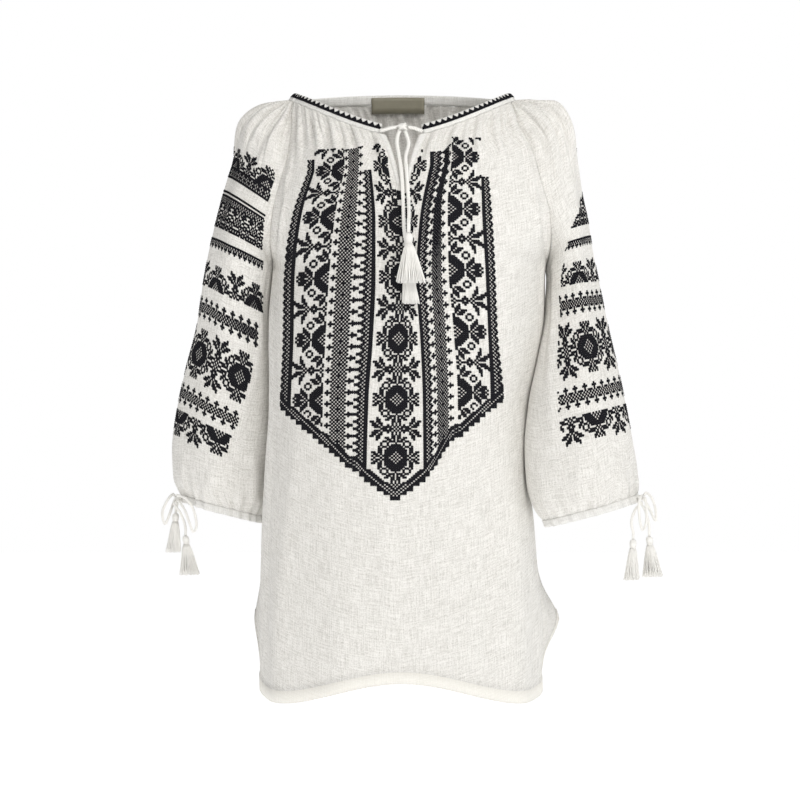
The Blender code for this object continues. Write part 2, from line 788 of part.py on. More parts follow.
def knot_exit(radii, direction, reach):
    """Point off the knot's surface where a cord leaves it, and a point further out."""
    radii = np.array(radii)
    across, toward, down = direction
    ray = unit(np.array((across, -toward, -down)))
    surface = ray / float(np.linalg.norm(ray / radii))
    normal = unit(surface / radii ** 2)
    start = surface + normal * KNOT_GAP
    return start, start + normal * reach


def cord_route(knot, radii, path, diameter, hanging):
    points = []
    for place, row in enumerate(path):
        if float(np.linalg.norm(row)) < 1.1:
            start, further = knot_exit(radii, row, diameter * 1.3)
            points.extend([start, further] if place == 0 else [further, start])
        else:
            points.append(np.array((row[0], -row[1], -row[2])))
    if hanging:
        drop = np.array((0.0, 0.0, -diameter))
        points.extend([points[-1] + drop, points[-1] + drop * 2.2])
    return [point + np.array(knot) for point in points]


def build_cord(name, knot, radii, path, diameter, hanging=False):
    """Round cord as a curve with filled ends; returns its last point."""
    points = cord_route(knot, radii, path, diameter, hanging)
    route = smooth_path(points, diameter * 2.0)
    curve = bpy.data.curves.new(name, "CURVE")
    curve.dimensions = "3D"
    curve.bevel_depth = diameter / 2.0 * MM
    curve.bevel_resolution = 2
    curve.use_fill_caps = True
    spline = curve.splines.new("POLY")
    spline.points.add(len(route) - 1)
    for place, point in enumerate(route):
        spline.points[place].co = (point[0] * MM, point[1] * MM, point[2] * MM, 1.0)
    curve.materials.append(make_material(name + "_material", CORD_COLOUR))
    thing = bpy.data.objects.new(name, curve)
    bpy.context.scene.collection.objects.link(thing)
    return points[-1]


def build_knot(name, middle, radii):
    body = bmesh.new()
    bmesh.ops.create_uvsphere(body, u_segments=10, v_segments=6, radius=1.0)
    for vertex in body.verts:
        vertex.co = Vector([vertex.co[axis] * radii[axis] * MM for axis in range(3)])
    mesh = bpy.data.meshes.new(name)
    body.to_mesh(mesh)
    body.free()
    mesh.materials.append(make_material(name + "_material", CORD_COLOUR))
    thing = bpy.data.objects.new(name, mesh)
    thing.location = [value * MM for value in middle]
    bpy.context.scene.collection.objects.link(thing)


def strand_faces(points, faces, corners, outward, length, spread, squash):
    """Root set in from a head face, swept to a cut tip."""
    ring = np.array([points[corner] for corner in corners])
    middle = ring.mean(axis=0)
    root = middle + (ring - middle) * 0.62
    before = list(corners)
    for part, size in ((0.0, 1.0), (0.4, 1.25), (1.0, 0.95)):
        shift = outward * spread * part ** 0.8 * np.array((1.0, squash, 0.0))
        shift = shift + np.array((0.0, 0.0, -length * part))
        placed = middle + (root - middle) * size + shift
        start = len(points)
        points.extend(list(placed))
        after = list(range(start, start + len(corners)))
        count = len(corners)
        for corner in range(count):
            following = (corner + 1) % count
            faces.append((before[corner], before[following], after[following], after[corner]))
        before = after
    faces.append(tuple(before))


def build_tassel(name, top, size, sides, lean):
    """Wound head with strands that stand apart below it."""
    radius, head, skirt, spread, squash = size
    points, faces = [], []
    profile = ((0.0, 0.42), (0.12, 0.80), (0.42, 1.0), (0.72, 0.86), (0.86, 0.62), (1.0, 0.92))
    for drop, wide in profile:
        for corner in range(sides):
            turn = 2.0 * math.pi * corner / sides
            across = math.cos(turn) * radius * wide
            depth = math.sin(turn) * radius * wide
            points.append(np.array((across, depth, -head * drop)))
    for ring in range(len(profile) - 1):
        for corner in range(sides):
            after = (corner + 1) % sides
            here, there = ring * sides, (ring + 1) * sides
            faces.append((here + corner, here + after, there + after, there + corner))
    faces.append(tuple(reversed(range(sides))))
    rim = (len(profile) - 1) * sides
    inner = len(points)
    for corner in range(sides):
        turn = 2.0 * math.pi * corner / sides
        points.append(np.array((math.cos(turn), math.sin(turn), 0.0)) * radius * 0.46)
        points[-1] = points[-1] + np.array((0.0, 0.0, -head))
    centre = len(points)
    points.append(np.array((0.0, 0.0, -head)))
    for corner in range(sides):
        after = (corner + 1) % sides
        turn = 2.0 * math.pi * (corner + 0.5) / sides
        outward = np.array((math.cos(turn), math.sin(turn), 0.0))
        uneven = 1.0 - 0.10 * ((corner * 3) % 5) / 4.0
        outer_ring = (rim + corner, rim + after, inner + after, inner + corner)
        strand_faces(points, faces, outer_ring, outward, skirt * uneven, spread, squash)
        inner_ring = (inner + corner, inner + after, centre)
        longer = skirt * (1.03 - 0.08 * (corner % 3) / 2.0)
        strand_faces(points, faces, inner_ring, outward, longer, spread * 0.42, squash)
    moved = []
    for point in points:
        slide = lean * point[2]
        moved.append(point + np.array((slide[0], slide[1], 0.0)) + np.array(top))
    make_mesh(name, moved, faces, CORD_COLOUR)


def below(point, gap):
    return (point[0], point[1], point[2] - gap)


def build_neck_tie():
    knot, radii = NECK_KNOT, NECK_KNOT_RADII
    build_knot("neck_knot", knot, radii)
    build_cord("neck_cord_left", knot, radii, NECK_LEFT, NECK_CORD)
    build_cord("neck_cord_right", knot, radii, NECK_RIGHT, NECK_CORD)
    rear = build_cord("neck_end_rear", knot, radii, NECK_REAR_END, NECK_CORD, True)
    front = build_cord("neck_end_front", knot, radii, NECK_FRONT_END, NECK_CORD, True)
    size = (4.6, 12.0, 44.0, 13.0, 0.22)
    build_tassel("neck_tassel_front", below(front, TIE_GAP), size, 8, np.array((-0.05, 0.0)))
    size = (4.4, 12.0, 46.0, 6.0, 0.2)
    build_tassel("neck_tassel_rear", below(rear, TIE_GAP), size, 8, np.array((-0.1, 0.0)))


def wrist_knot_place(side):
    """Middle of the knot, just off the ridge of one cuff gather."""
    arm = ARMS[side]
    turn = -0.125
    return arm.point(turn, 13.0) + cuff_outward(arm, turn) * 7.0 + arm.down(13.0) * 4.5


def build_wrist_tie(word, side, loops, ends):
    knot, radii = wrist_knot_place(side), WRIST_KNOT_RADII
    build_knot("wrist_%s_knot" % word, knot, radii)
    for label, path in zip(("one", "two"), loops):
        build_cord("wrist_%s_loop_%s" % (word, label), knot, radii, path, WRIST_CORD)
    sizes = ((4.0, 10.0, 36.0, 6.0, 0.75), (4.0, 10.0, 37.0, 9.0, 0.75))
    leans = (np.array((0.05, 0.12)), np.array((-0.10, -0.12)))
    for label, path, size, lean in zip(("one", "two"), ends, sizes, leans):
        name = "wrist_%s_end_%s" % (word, label)
        end = build_cord(name, knot, radii, path, WRIST_CORD, True)
        place = below(end, TIE_GAP)
        build_tassel("wrist_%s_tassel_%s" % (word, label), place, size, 6, lean)


def main():
    for thing in list(bpy.data.objects):
        bpy.data.objects.remove(thing, do_unlink=True)
    build_panel("front", -1, FRONT_FOLDS)
    build_panel("back", 1, BACK_FOLDS)
    build_sleeve("sleeve_left", -1)
    build_sleeve("sleeve_right", 1)
    build_neckband()
    build_cuff("cuff_left", -1)
    build_cuff("cuff_right", 1)
    build_binding("slit_binding_left", -1)
    build_binding("slit_binding_right", 1)
    build_label()
    build_neck_tie()
    build_wrist_tie("left", -1, (LEFT_LOOP_ONE, LEFT_LOOP_TWO), (LEFT_END_ONE, LEFT_END_TWO))
    build_wrist_tie("right", 1, (RIGHT_LOOP_ONE, RIGHT_LOOP_TWO), (RIGHT_END_ONE, RIGHT_END_TWO))


main()
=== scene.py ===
import logging
import math
from dataclasses import dataclass
from enum import Enum
from typing import Callable, Iterable, Sequence

import bmesh
import bpy
import numpy as np
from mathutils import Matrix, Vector
from mathutils.bvhtree import BVHTree


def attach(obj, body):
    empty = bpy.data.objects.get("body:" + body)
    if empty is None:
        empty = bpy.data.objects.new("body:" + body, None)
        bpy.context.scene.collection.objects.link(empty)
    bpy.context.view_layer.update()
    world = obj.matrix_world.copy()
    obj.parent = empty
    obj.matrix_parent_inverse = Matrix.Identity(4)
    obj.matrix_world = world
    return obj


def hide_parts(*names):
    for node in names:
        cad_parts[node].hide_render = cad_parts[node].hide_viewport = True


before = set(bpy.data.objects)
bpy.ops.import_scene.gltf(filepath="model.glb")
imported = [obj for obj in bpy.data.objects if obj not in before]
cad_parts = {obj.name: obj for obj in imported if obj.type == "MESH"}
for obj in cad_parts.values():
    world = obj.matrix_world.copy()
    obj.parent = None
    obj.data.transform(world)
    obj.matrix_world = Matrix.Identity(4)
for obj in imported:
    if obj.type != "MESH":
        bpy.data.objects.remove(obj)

LOG = logging.getLogger("blouse")
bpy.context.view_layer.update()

# Lengths are in millimetres until a mesh is made
MM = 0.001
WALL = 1.4
SHELL = 0.7
UNDERARM_Z = -200.0
UNDERARM_ROW = 6.0
SLIT_ROW = 3.0
SLIT_HALF_GAP = 18.0
SLIT_MIDDLE_X = -2.0
BAND_LEFT_END = -28.0
BAND_RIGHT_END = 22.0

ARM_COLUMNS = ("row", "outer_x", "outer_z", "inner_x", "inner_z", "depth", "middle_y", "span")
ARM_LEFT = (
    (0, 134, -2, 127, -6, 24, 0, 90),
    (1, 160, -8, 129, -34, 34, 0, 84),
    (2, 186, -30, 132, -66, 44, 0, 82),
    (3, 195, -68, 142, -104, 51, 0, 88),
    (4, 205, -101, 150, -138, 52, 0, 105),
    (5, 214, -135, 153, -170, 53, 0, 135),
    (6, 222, -166, 151, -200, 52, 0, 180),
    (7, 232, -212, 155, -244, 50, 10, 180),
    (8, 241, -262, 153, -296, 49, 24, 180),
    (9, 255, -312, 152, -345, 49, 34, 180),
    (10, 266, -360, 151, -392, 50, 40, 180),
    (11, 272, -405, 153, -435, 50, 42, 180),
    (12, 270, -437, 157, -466, 48, 42, 180),
    (13, 261, -458, 166, -484, 40, 42, 180),
)
ARM_RIGHT = (
    (0, 130, -2, 123, -6, 24, 0, 90),
    (1, 173, -3, 131, -32, 34, 0, 84),
    (2, 195, -33, 146, -62, 44, 0, 82),
    (3, 200, -72, 156, -100, 51, 0, 88),
    (4, 204, -108, 166, -136, 52, 0, 105),
    (5, 211, -142, 168, -169, 53, 0, 135),
    (6, 216, -172, 164, -200, 52, 0, 180),
    (7, 224, -218, 162, -245, 50, -14, 180),
    (8, 233, -268, 152.5, -300, 48, -32, 180),
    (9, 244, -318, 141.5, -354, 48, -44, 180),
    (10, 253, -364, 137, -402, 48, -50, 180),
    (11, 260, -405, 139, -441, 48, -52, 180),
    (12, 262, -436, 147, -470, 46, -52, 180),
    (13, 263, -455, 158, -484, 39, -52, 180),
)
YOKE_COLUMNS = ("row", "middle_y", "middle_z", "half_turn", "round")
FRONT_YOKE = (
    (0, -89, -54, 75, 1.5),
    (1, -96, -68, 62, 1.6),
    (2, -104, -88, 56, 1.7),
    (3, -111, -116, 56, 1.8),
    (4, -116, -148, 62, 1.9),
    (5, -119, -180, 74, 2.0),
    (6, -120, -208, 90, 2.0),
)
BACK_YOKE = (
    (0, 79, 4, 75, 2.0),
    (1, 86, -10, 62, 2.0),
    (2, 94, -38, 58, 2.0),
    (3, 100, -75, 58, 2.0),
    (4, 104, -116, 64, 2.0),
    (5, 106, -160, 75, 2.0),
    (6, 106, -206, 90, 2.0),
)
TORSO_COLUMNS = ("drop", "left_x", "right_x", "front_y", "back_y")
TORSO = (
    (200, -151, 164, -120, 106),
    (250, -155, 164, -119, 106),
    (300, -156, 157, -116, 104),
    (356, -156, 146, -114, 102),
    (420, -160, 144.5, -115, 104),
    (500, -164, 151, -117, 108),
    (602, -166, 158, -119, 112),
    (690, -166, 160, -116, 114),
)
HEM_COLUMNS = ("face", "middle_z", "low", "side_lift")
HEM = ((-1, -664.0, -26.0, 88.0), (1, -684.0, -10.0, 92.0))
HEM_LOW_AT = 0.62
SIDE_FLARE = {-1: 7.0, 1: 22.0}

# Largest folds, as the solids have them
FOLD_COLUMNS = ("across", "width", "height", "start", "full")
FRONT_FOLDS = (
    (-0.62, 0.13, 7.0, 380, 660),
    (0.60, 0.12, 8.0, 360, 660),
    (0.02, 0.20, -7.0, 430, 670),
    (-0.86, 0.06, 3.0, 300, 420),
    (0.84, 0.06, 3.5, 280, 420),
    (-0.30, 0.07, 2.5, 470, 640),
    (0.33, 0.08, 2.0, 500, 650),
)
BACK_FOLDS = (
    (-0.55, 0.11, 7.0, 330, 640),
    (-0.14, 0.10, 6.0, 260, 620),
    (0.27, 0.12, 7.0, 300, 640),
    (0.66, 0.10, 6.0, 360, 650),
    (0.05, 0.06, -3.0, 220, 560),
)
SLEEVE_FOLDS = (
    (-0.42, 0.10, 3.0, 60, 240),
    (-0.12, 0.08, 2.5, 40, 150),
    (0.22, 0.10, 3.0, 60, 250),
    (0.52, 0.09, 2.5, 90, 300),
)

# Creases: place across at their top and foot, half width, height, rows they run over
CREASE_COLUMNS = ("top", "foot", "width", "height", "start", "end")
FRONT_CREASES = (
    (-0.97, -0.84, 0.030, 2.2, 1.2, 5.4),
    (-0.90, -0.93, 0.022, -1.6, 2.6, 6.3),
    (0.95, 0.82, 0.034, 2.6, 1.0, 5.2),
    (0.88, 0.93, 0.024, -1.8, 3.2, 6.5),
    (0.99, 0.70, 0.040, 2.0, 5.2, 6.6),
    (-0.99, -0.76, 0.036, 1.8, 5.6, 6.7),
    (-0.16, -0.22, 0.026, 1.1, 1.2, 3.9),
    (0.20, 0.12, 0.024, 1.9, 1.0, 4.3),
    (0.34, 0.30, 0.020, -1.2, 1.2, 3.8),
    (-0.44, -0.48, 0.024, 0.9, 1.0, 3.2),
    (0.55, 0.60, 0.026, 1.2, 1.3, 3.4),
    (-0.52, -0.66, 0.050, 1.6, 6.30, 6.95),
    (-0.12, -0.02, 0.045, 1.3, 6.42, 6.90),
    (0.16, 0.24, 0.040, 1.5, 6.48, 6.98),
    (0.46, 0.40, 0.045, -1.4, 6.36, 6.92),
    (0.72, 0.78, 0.036, 1.8, 6.28, 6.88),
    (-0.78, -0.74, 0.034, -1.3, 6.40, 6.96),
    (0.905, 0.895, 0.022, -3.0, 6.12, 7.40),
    (-0.92, -0.91, 0.022, -2.2, 6.20, 7.50),
)
BACK_CREASES = (
    (-0.96, -0.82, 0.032, 2.4, 1.1, 5.6),
    (-0.88, -0.92, 0.024, -1.6, 2.8, 6.3),
    (0.97, 0.85, 0.030, 2.3, 1.3, 5.1),
    (0.90, 0.95, 0.022, -1.7, 2.9, 6.4),
    (-0.70, -0.58, 0.036, 1.7, 1.6, 6.2),
    (-0.38, -0.30, 0.034, 1.9, 1.4, 6.3),
    (-0.06, -0.10, 0.030, 1.5, 1.5, 6.1),
    (0.22, 0.14, 0.034, 1.8, 1.3, 6.4),
    (0.48, 0.42, 0.030, 1.6, 1.6, 6.0),
    (0.74, 0.62, 0.036, 1.9, 1.4, 6.2),
    (-0.98, -0.72, 0.040, 2.0, 5.4, 6.7),
    (0.98, 0.76, 0.040, 1.8, 5.5, 6.6),
    (-0.34, -0.42, 0.045, 1.6, 6.30, 6.97),
    (0.08, 0.16, 0.045, 1.5, 6.35, 6.93),
    (0.44, 0.50, 0.040, -1.5, 6.40, 6.95),
    (-0.76, -0.70, 0.036, 1.5, 6.33, 6.90),
    (0.86, 0.80, 0.032, 1.3, 6.38, 6.96),
)
SLEEVE_CREASES = (
    (-0.86, -0.62, 0.050, 2.4, 0.6, 3.6),
    (-0.60, -0.44, 0.045, 1.9, 0.8, 3.1),
    (-0.28, -0.22, 0.040, 1.6, 0.5, 2.6),
    (0.06, 0.00, 0.045, 2.0, 0.6, 3.0),
    (0.36, 0.30, 0.040, 1.5, 0.7, 2.8),
    (0.66, 0.50, 0.050, 2.1, 0.6, 3.4),
    (0.90, 0.74, 0.045, 1.7, 0.9, 3.7),
    (-0.92, -0.80, 0.040, -1.9, 5.0, 8.2),
    (0.93, 0.82, 0.040, -1.7, 5.2, 8.6),
    (-0.84, -0.58, 0.050, 1.7, 6.6, 10.2),
    (0.84, 0.66, 0.050, 1.9, 6.4, 10.4),
    (-0.70, -0.78, 0.045, 2.3, 10.2, 12.9),
    (-0.50, -0.40, 0.045, 2.0, 10.6, 12.9),
    (-0.24, -0.18, 0.040, 1.7, 10.9, 12.9),
    (0.04, 0.10, 0.040, 1.9, 10.8, 12.9),
    (0.30, 0.24, 0.045, 1.8, 11.0, 12.9),
    (0.54, 0.62, 0.045, 2.2, 10.4, 12.9),
    (0.82, 0.76, 0.045, 1.9, 10.7, 12.9),
)

# Gathers by turns: place within its pitch, half width, height, and the row where it ends
GATHER_COLUMNS = ("shift", "width", "height", "end")
GATHERS = (
    (0.04, 0.30, 2.4, 1.9),
    (-0.08, 0.24, 1.7, 1.1),
    (0.10, 0.34, 2.8, 3.3),
    (-0.03, 0.26, 1.9, 1.5),
    (0.07, 0.28, 2.2, 2.4),
    (-0.11, 0.23, 1.5, 0.9),
    (0.02, 0.33, 2.7, 2.9),
)

# Chest embroidery: where each column of stitches runs, at named rows from the lowest rosette
LINE_ROWS = (160, 128, 96, 64, 32, -24)
CHEST_LINES = (
    (-60, -109, -127, -137, -138, -141, -142),
    (-54, -102, -117, -125, -126, -129, -130),
    (-37, -67, -78, -85, -89, -92, -93),
    (-35, -66, -75, -81, -85, -88, -89),
    (-21, -47, -48.5, -53, -56, -60, -61),
    (-20, -45, -43, -46, -49, -53, -55),
    (-14, -38, -33, -33, -36, -41, -44),
    (-1, -17.5, -8, -5, -7.8, -9.8, -11.8),
    (1, 4, 0.5, -1, -4, -6.2, -8.2),
    (14, 30, 18, 14, 19, 22, 23),
    (21, 44, 30, 27, 30, 33, 34),
    (35, 52, 44, 45, 50, 53, 54),
    (37, 54, 50, 51, 57, 62, 63),
    (54, 87, 88, 92, 95, 98, 99),
    (60, 93, 98, 102, 105, 112, 114),
)
CHEST_HEIGHT_COLUMNS = ("row", "left", "middle", "right")
CHEST_HEIGHTS = (
    (-24, -460, -460, -452),
    (0, -412, -412, -404),
    (32, -348.5, -347.5, -339.7),
    (64, -280.7, -280, -272),
    (96, -212, -211.6, -203.6),
    (128, -143.5, -150, -135.5),
    (160, -91, -87, -76),
    (178, -62, -58, -46),
)
CHEST_TOP_COLUMNS = ("first", "last", "top_row")
CHEST_TOPS = (
    (-60, -54, 168), (-53, -36, 175), (-35, -21, 174), (-20, -14, 157), (-13, 0, 175),
    (1, 13, 171), (14, 20, 169), (21, 36, 168), (37, 53, 173), (54, 60, 147),
)

# Stitch charts: a mark is a stitch, mirrored as each motif needs
ROSETTE = (
    "#.#.##.#..#..", ".#.####.##.#.", "#.####.#.##..", ".#####.##.##.", "######.##....",
    "#####..##....", "####.##.#....", "###.#..#.....", "#...#..#.....", ".###.##......",
    ".#.##....#...", ".##.##..##...", ".##.....##.##", "#.#....##.##.", "#.#.#..#.###.",
    ".#.####.###..", "#.##.###.....",
)
HALF_ROSETTE = (
    "#.#.####.#..###..", ".#.####.#.####.#.", "#.#####.##.####..", ".######.###.###..",
    "######...###.....", "#####.....##.....", "####...##..#.....", "###...#..#.......",
    "#.....#..#.......", "#.###..##...#....", ".#.###......#....", ".##.###....##....",
    ".###.......##...#", "#.##......##..###", "#..#..#...#.####.", ".#...###.#.####..",
    "#.####.##.#......",
)
CROSS_LATTICE = (
    "####.#.#.#.####", ".#..#.#.#.#..#.", "...#.#.#.#.#...",
    "....#.###.#....", "...#.#.#.#.#...", ".#..#.#.#.#..#.",
)
TOOTHED_BORDER = ("##.#.##", "###.##.", "##.##..", "###.##.")
SLEEVE_LATTICE = (
    "####.#.####", ".#..#.#..#.", "...#.#.#...", "...##.##...", "...#.#.#...", ".#..#.#..#.",
)
SLEEVE_BASE = ("######", "##.#.#", "#.#.##", "##.#.#")
SLEEVE_TEETH = ("##.##", "#.##.", "##...", "#.##.")
OPENWORK = (
    "#.##.#..##.#.##.###", "#.#.#.##..#.#.#.#.#", "#.##.##.#.##.##.###",
    "#.#.##.###..##.##.#", "#.##.#####.#.##.###", "#.#.#.###.##.#.#.#.",
    "#.##.##.#.#.###.###", "#.#.#.#...#.#.#.#.#",
)


class Side(Enum):
    """Viewer's left or right."""

    LEFT = -1
    RIGHT = 1


class Face(Enum):
    """Front or back panel."""

    FRONT = -1
    BACK = 1


class Motif(Enum):
    """Band of embroidery on a sleeve."""

    FLOWERS_UP = "flowers_up"
    FLOWERS_DOWN = "flowers_down"
    ROSETTES = "rosettes"
    LATTICE = "lattice"
    BASE = "base"
    TEETH = "teeth"
    OPENWORK = "openwork"


# Sleeve bands down the outer line: heights, stitches high, motif's middle, and where each starts
BAND_COLUMNS = ("motif", "top_z", "foot_z", "stitches", "centre", "first_at_top", "first_at_foot")
LEFT_BANDS = (
    (Motif.FLOWERS_UP, -55.0, -78.0, 13, -45, -50, -50),
    (Motif.BASE, -78.0, -90.6, 6, -45, -50, -50),
    (Motif.OPENWORK, -105.4, -147.5, 19, -48, -51, -59),
    (Motif.TEETH, -160.0, -170.6, 5, -50, -62, -63),
    (Motif.FLOWERS_UP, -186.0, -214.0, 13, -58, -66, -67),
    (Motif.LATTICE, -226.0, -250.0, 11, -54, -62, -61),
    (Motif.ROSETTES, -258.0, -318.0, 25, -53, -60, -58),
    (Motif.LATTICE, -325.5, -349.5, 11, -49, -58, -57),
    (Motif.FLOWERS_DOWN, -357.0, -389.0, 13, -48, -55, -54),
)
RIGHT_BANDS = (
    (Motif.FLOWERS_UP, -54.0, -77.0, 13, -33, 0, -1),
    (Motif.BASE, -77.0, -89.6, 6, -33, -1, -2),
    (Motif.OPENWORK, -103.0, -145.0, 19, -33, -3, -34),
    (Motif.TEETH, -158.5, -168.5, 5, -33, -42, -45),
    (Motif.FLOWERS_UP, -184.0, -212.0, 13, -33, -46, -50),
    (Motif.LATTICE, -221.0, -245.0, 11, -34, -52, -52),
    (Motif.ROSETTES, -252.0, -312.0, 25, -34, -54, -59),
    (Motif.LATTICE, -319.5, -343.5, 11, -36, -59, -60),
    (Motif.FLOWERS_DOWN, -352.0, -383.0, 13, -38, -60, -60),
)
# Rows by which a band lies lower at the inner side: above the elbow, and below it
BAND_TILT = {Side.LEFT: (0.0, 0.5), Side.RIGHT: (-0.35, -0.23)}
AROUND_PITCH = 1.74
BAND_SPAN = 120


def smoothstep(low: float, high: float, value: np.ndarray) -> np.ndarray:
    """Smooth rise from 0 to 1.

    Args:
        low: Value where the rise starts.
        high: Value where it ends.
        value: Values to read.

    Returns:
        The rise at each value.
    """
    part = np.clip((np.asarray(value, dtype=float) - low) / (high - low), 0.0, 1.0)
    return part * part * (3.0 - 2.0 * part)


def unit(vectors: np.ndarray) -> np.ndarray:
    """Vectors of length one along the last axis."""
    return vectors / np.maximum(np.linalg.norm(vectors, axis=-1, keepdims=True), 1e-9)


def notch(depth: np.ndarray, size: float) -> np.ndarray:
    """Sideways step just under the arm, where sleeve and side part."""
    part = np.maximum(depth, 0.0) / 12.0
    return size * part * np.exp(1.0 - part)


class Table:
    """Short table of named columns, read between its rows by a smooth curve."""

    def __init__(self, names: Sequence[str], rows: Sequence[Sequence[float]]) -> None:
        """Keep the rows and work out each column's slopes.

        Args:
            names: Column names; the first is the key.
            rows: One sequence of numbers a row.
        """
        data = np.array(rows, dtype=float)
        self.keys = data[:, 0]
        self.columns = {name: data[:, place] for place, name in enumerate(names)}
        self.slopes = {name: self._slopes(values) for name, values in self.columns.items()}

    def _slopes(self, values: np.ndarray) -> np.ndarray:
        """Slopes that never overshoot the rows.

        Args:
            values: One column.

        Returns:
            The slope at each row.
        """
        steps = np.diff(values) / np.diff(self.keys)
        slopes = np.zeros(len(values))
        slopes[0], slopes[-1] = steps[0], steps[-1]
        before, after = steps[:-1], steps[1:]
        total = np.where(before + after == 0.0, 1.0, before + after)
        slopes[1:-1] = np.where(before * after > 0.0, 2.0 * before * after / total, 0.0)
        return slopes

    def at(self, name: str, key: np.ndarray) -> np.ndarray:
        """Read a column at any key.

        Args:
            name: Column name.
            key: Keys to read at.

        Returns:
            The column's values there.
        """
        key = np.clip(np.asarray(key, dtype=float), self.keys[0], self.keys[-1])
        place = np.clip(np.searchsorted(self.keys, key, side="right") - 1, 0, len(self.keys) - 2)
        width = self.keys[place + 1] - self.keys[place]
        part = (key - self.keys[place]) / width
        values, slopes = self.columns[name], self.slopes[name]
        start = (1.0 + 2.0 * part) * (1.0 - part) ** 2 * values[place]
        start = start + part * (1.0 - part) ** 2 * width * slopes[place]
        end = part * part * (3.0 - 2.0 * part) * values[place + 1]
        return start + end + part * part * (part - 1.0) * width * slopes[place + 1]


def numeric_normal(
    point: Callable[[np.ndarray, np.ndarray], np.ndarray],
    across: np.ndarray,
    row: np.ndarray,
    limits: tuple[float, float],
    middle: np.ndarray,
) -> np.ndarray:
    """Outward normals of a surface by small steps.

    Args:
        point: The surface.
        across: Places across, from -1 to 1.
        row: Rows.
        limits: Lowest and highest row that may be read.
        middle: Points inside the surface.

    Returns:
        One unit vector a place.
    """
    step = 1e-3
    right = point(np.minimum(across + step, 1.0), row)
    left = point(np.maximum(across - step, -1.0), row)
    below = point(across, np.minimum(row + step, limits[1]))
    above = point(across, np.maximum(row - step, limits[0]))
    normal = unit(np.cross(right - left, below - above))
    outward = point(across, row) - middle
    sign = np.where((normal * outward).sum(-1, keepdims=True) < 0.0, -1.0, 1.0)
    return normal * sign


class ArmSurface:
    """Sleeve form: an open arc down to the underarm, then closed rings."""

    def __init__(self, side: Side, rows: Sequence[Sequence[float]]) -> None:
        """Keep the side and its table of rings."""
        self.side = side.value
        self.table = Table(ARM_COLUMNS, rows)

    def ring(self, row: np.ndarray) -> tuple[np.ndarray, ...]:
        """Middle, way out, reach and half turn of the ring at a row.

        Args:
            row: Rows.

        Returns:
            Centre x and z, direction x and z, reach, and span in radians.
        """
        at = self.table.at
        outer_x, outer_z = at("outer_x", row), at("outer_z", row)
        wide, high = outer_x - at("inner_x", row), outer_z - at("inner_z", row)
        length = np.hypot(wide, high)
        span = np.radians(at("span", np.minimum(row, UNDERARM_ROW)))
        reach = length / (1.0 - np.cos(span))
        way_x, way_z = wide / length, high / length
        return outer_x - reach * way_x, outer_z - reach * way_z, way_x, way_z, reach, span

    def middle(self, row: np.ndarray) -> np.ndarray:
        """Middle points of the rings."""
        centre_x, centre_z = self.ring(row)[:2]
        middle_y = self.table.at("middle_y", row)
        return np.stack((self.side * centre_x, middle_y, centre_z), -1)

    def point(self, turn: np.ndarray, row: np.ndarray) -> np.ndarray:
        """Points of the sleeve.

        Args:
            turn: Places round it, -1 at the front seam, 0 outermost, 1 at the back seam.
            row: Rows from neck to cuff.

        Returns:
            One point a place.
        """
        turn, row = np.broadcast_arrays(np.asarray(turn, float), np.asarray(row, float))
        centre_x, centre_z, way_x, way_z, reach, span = self.ring(row)
        angle = turn * span
        inside = np.maximum(-np.cos(angle), 0.0) ** 3
        out = centre_x + reach * np.cos(angle) * way_x
        out = out + notch((row - UNDERARM_ROW) * 46.0, 1.4) * inside
        y = self.table.at("middle_y", row) + self.table.at("depth", row) * np.sin(angle)
        return np.stack((self.side * out, y, centre_z + reach * np.cos(angle) * way_z), -1)

    def normal(self, turn: np.ndarray, row: np.ndarray) -> np.ndarray:
        """Outward normals of the sleeve."""
        turn, row = np.broadcast_arrays(np.asarray(turn, float), np.asarray(row, float))
        return numeric_normal(self.point, turn, row, (0.0, 13.0), self.middle(row))

    def down(self, row: float) -> np.ndarray:
        """Way down the arm at a row."""
        return unit(self.middle(np.array(row)) - self.middle(np.array(row - 0.6)))

    def girth(self, row: np.ndarray) -> np.ndarray:
        """Mean radius of the ring, for measuring round it."""
        reach, depth = self.ring(row)[4], self.table.at("depth", row)
        return (reach + depth) / 2.0


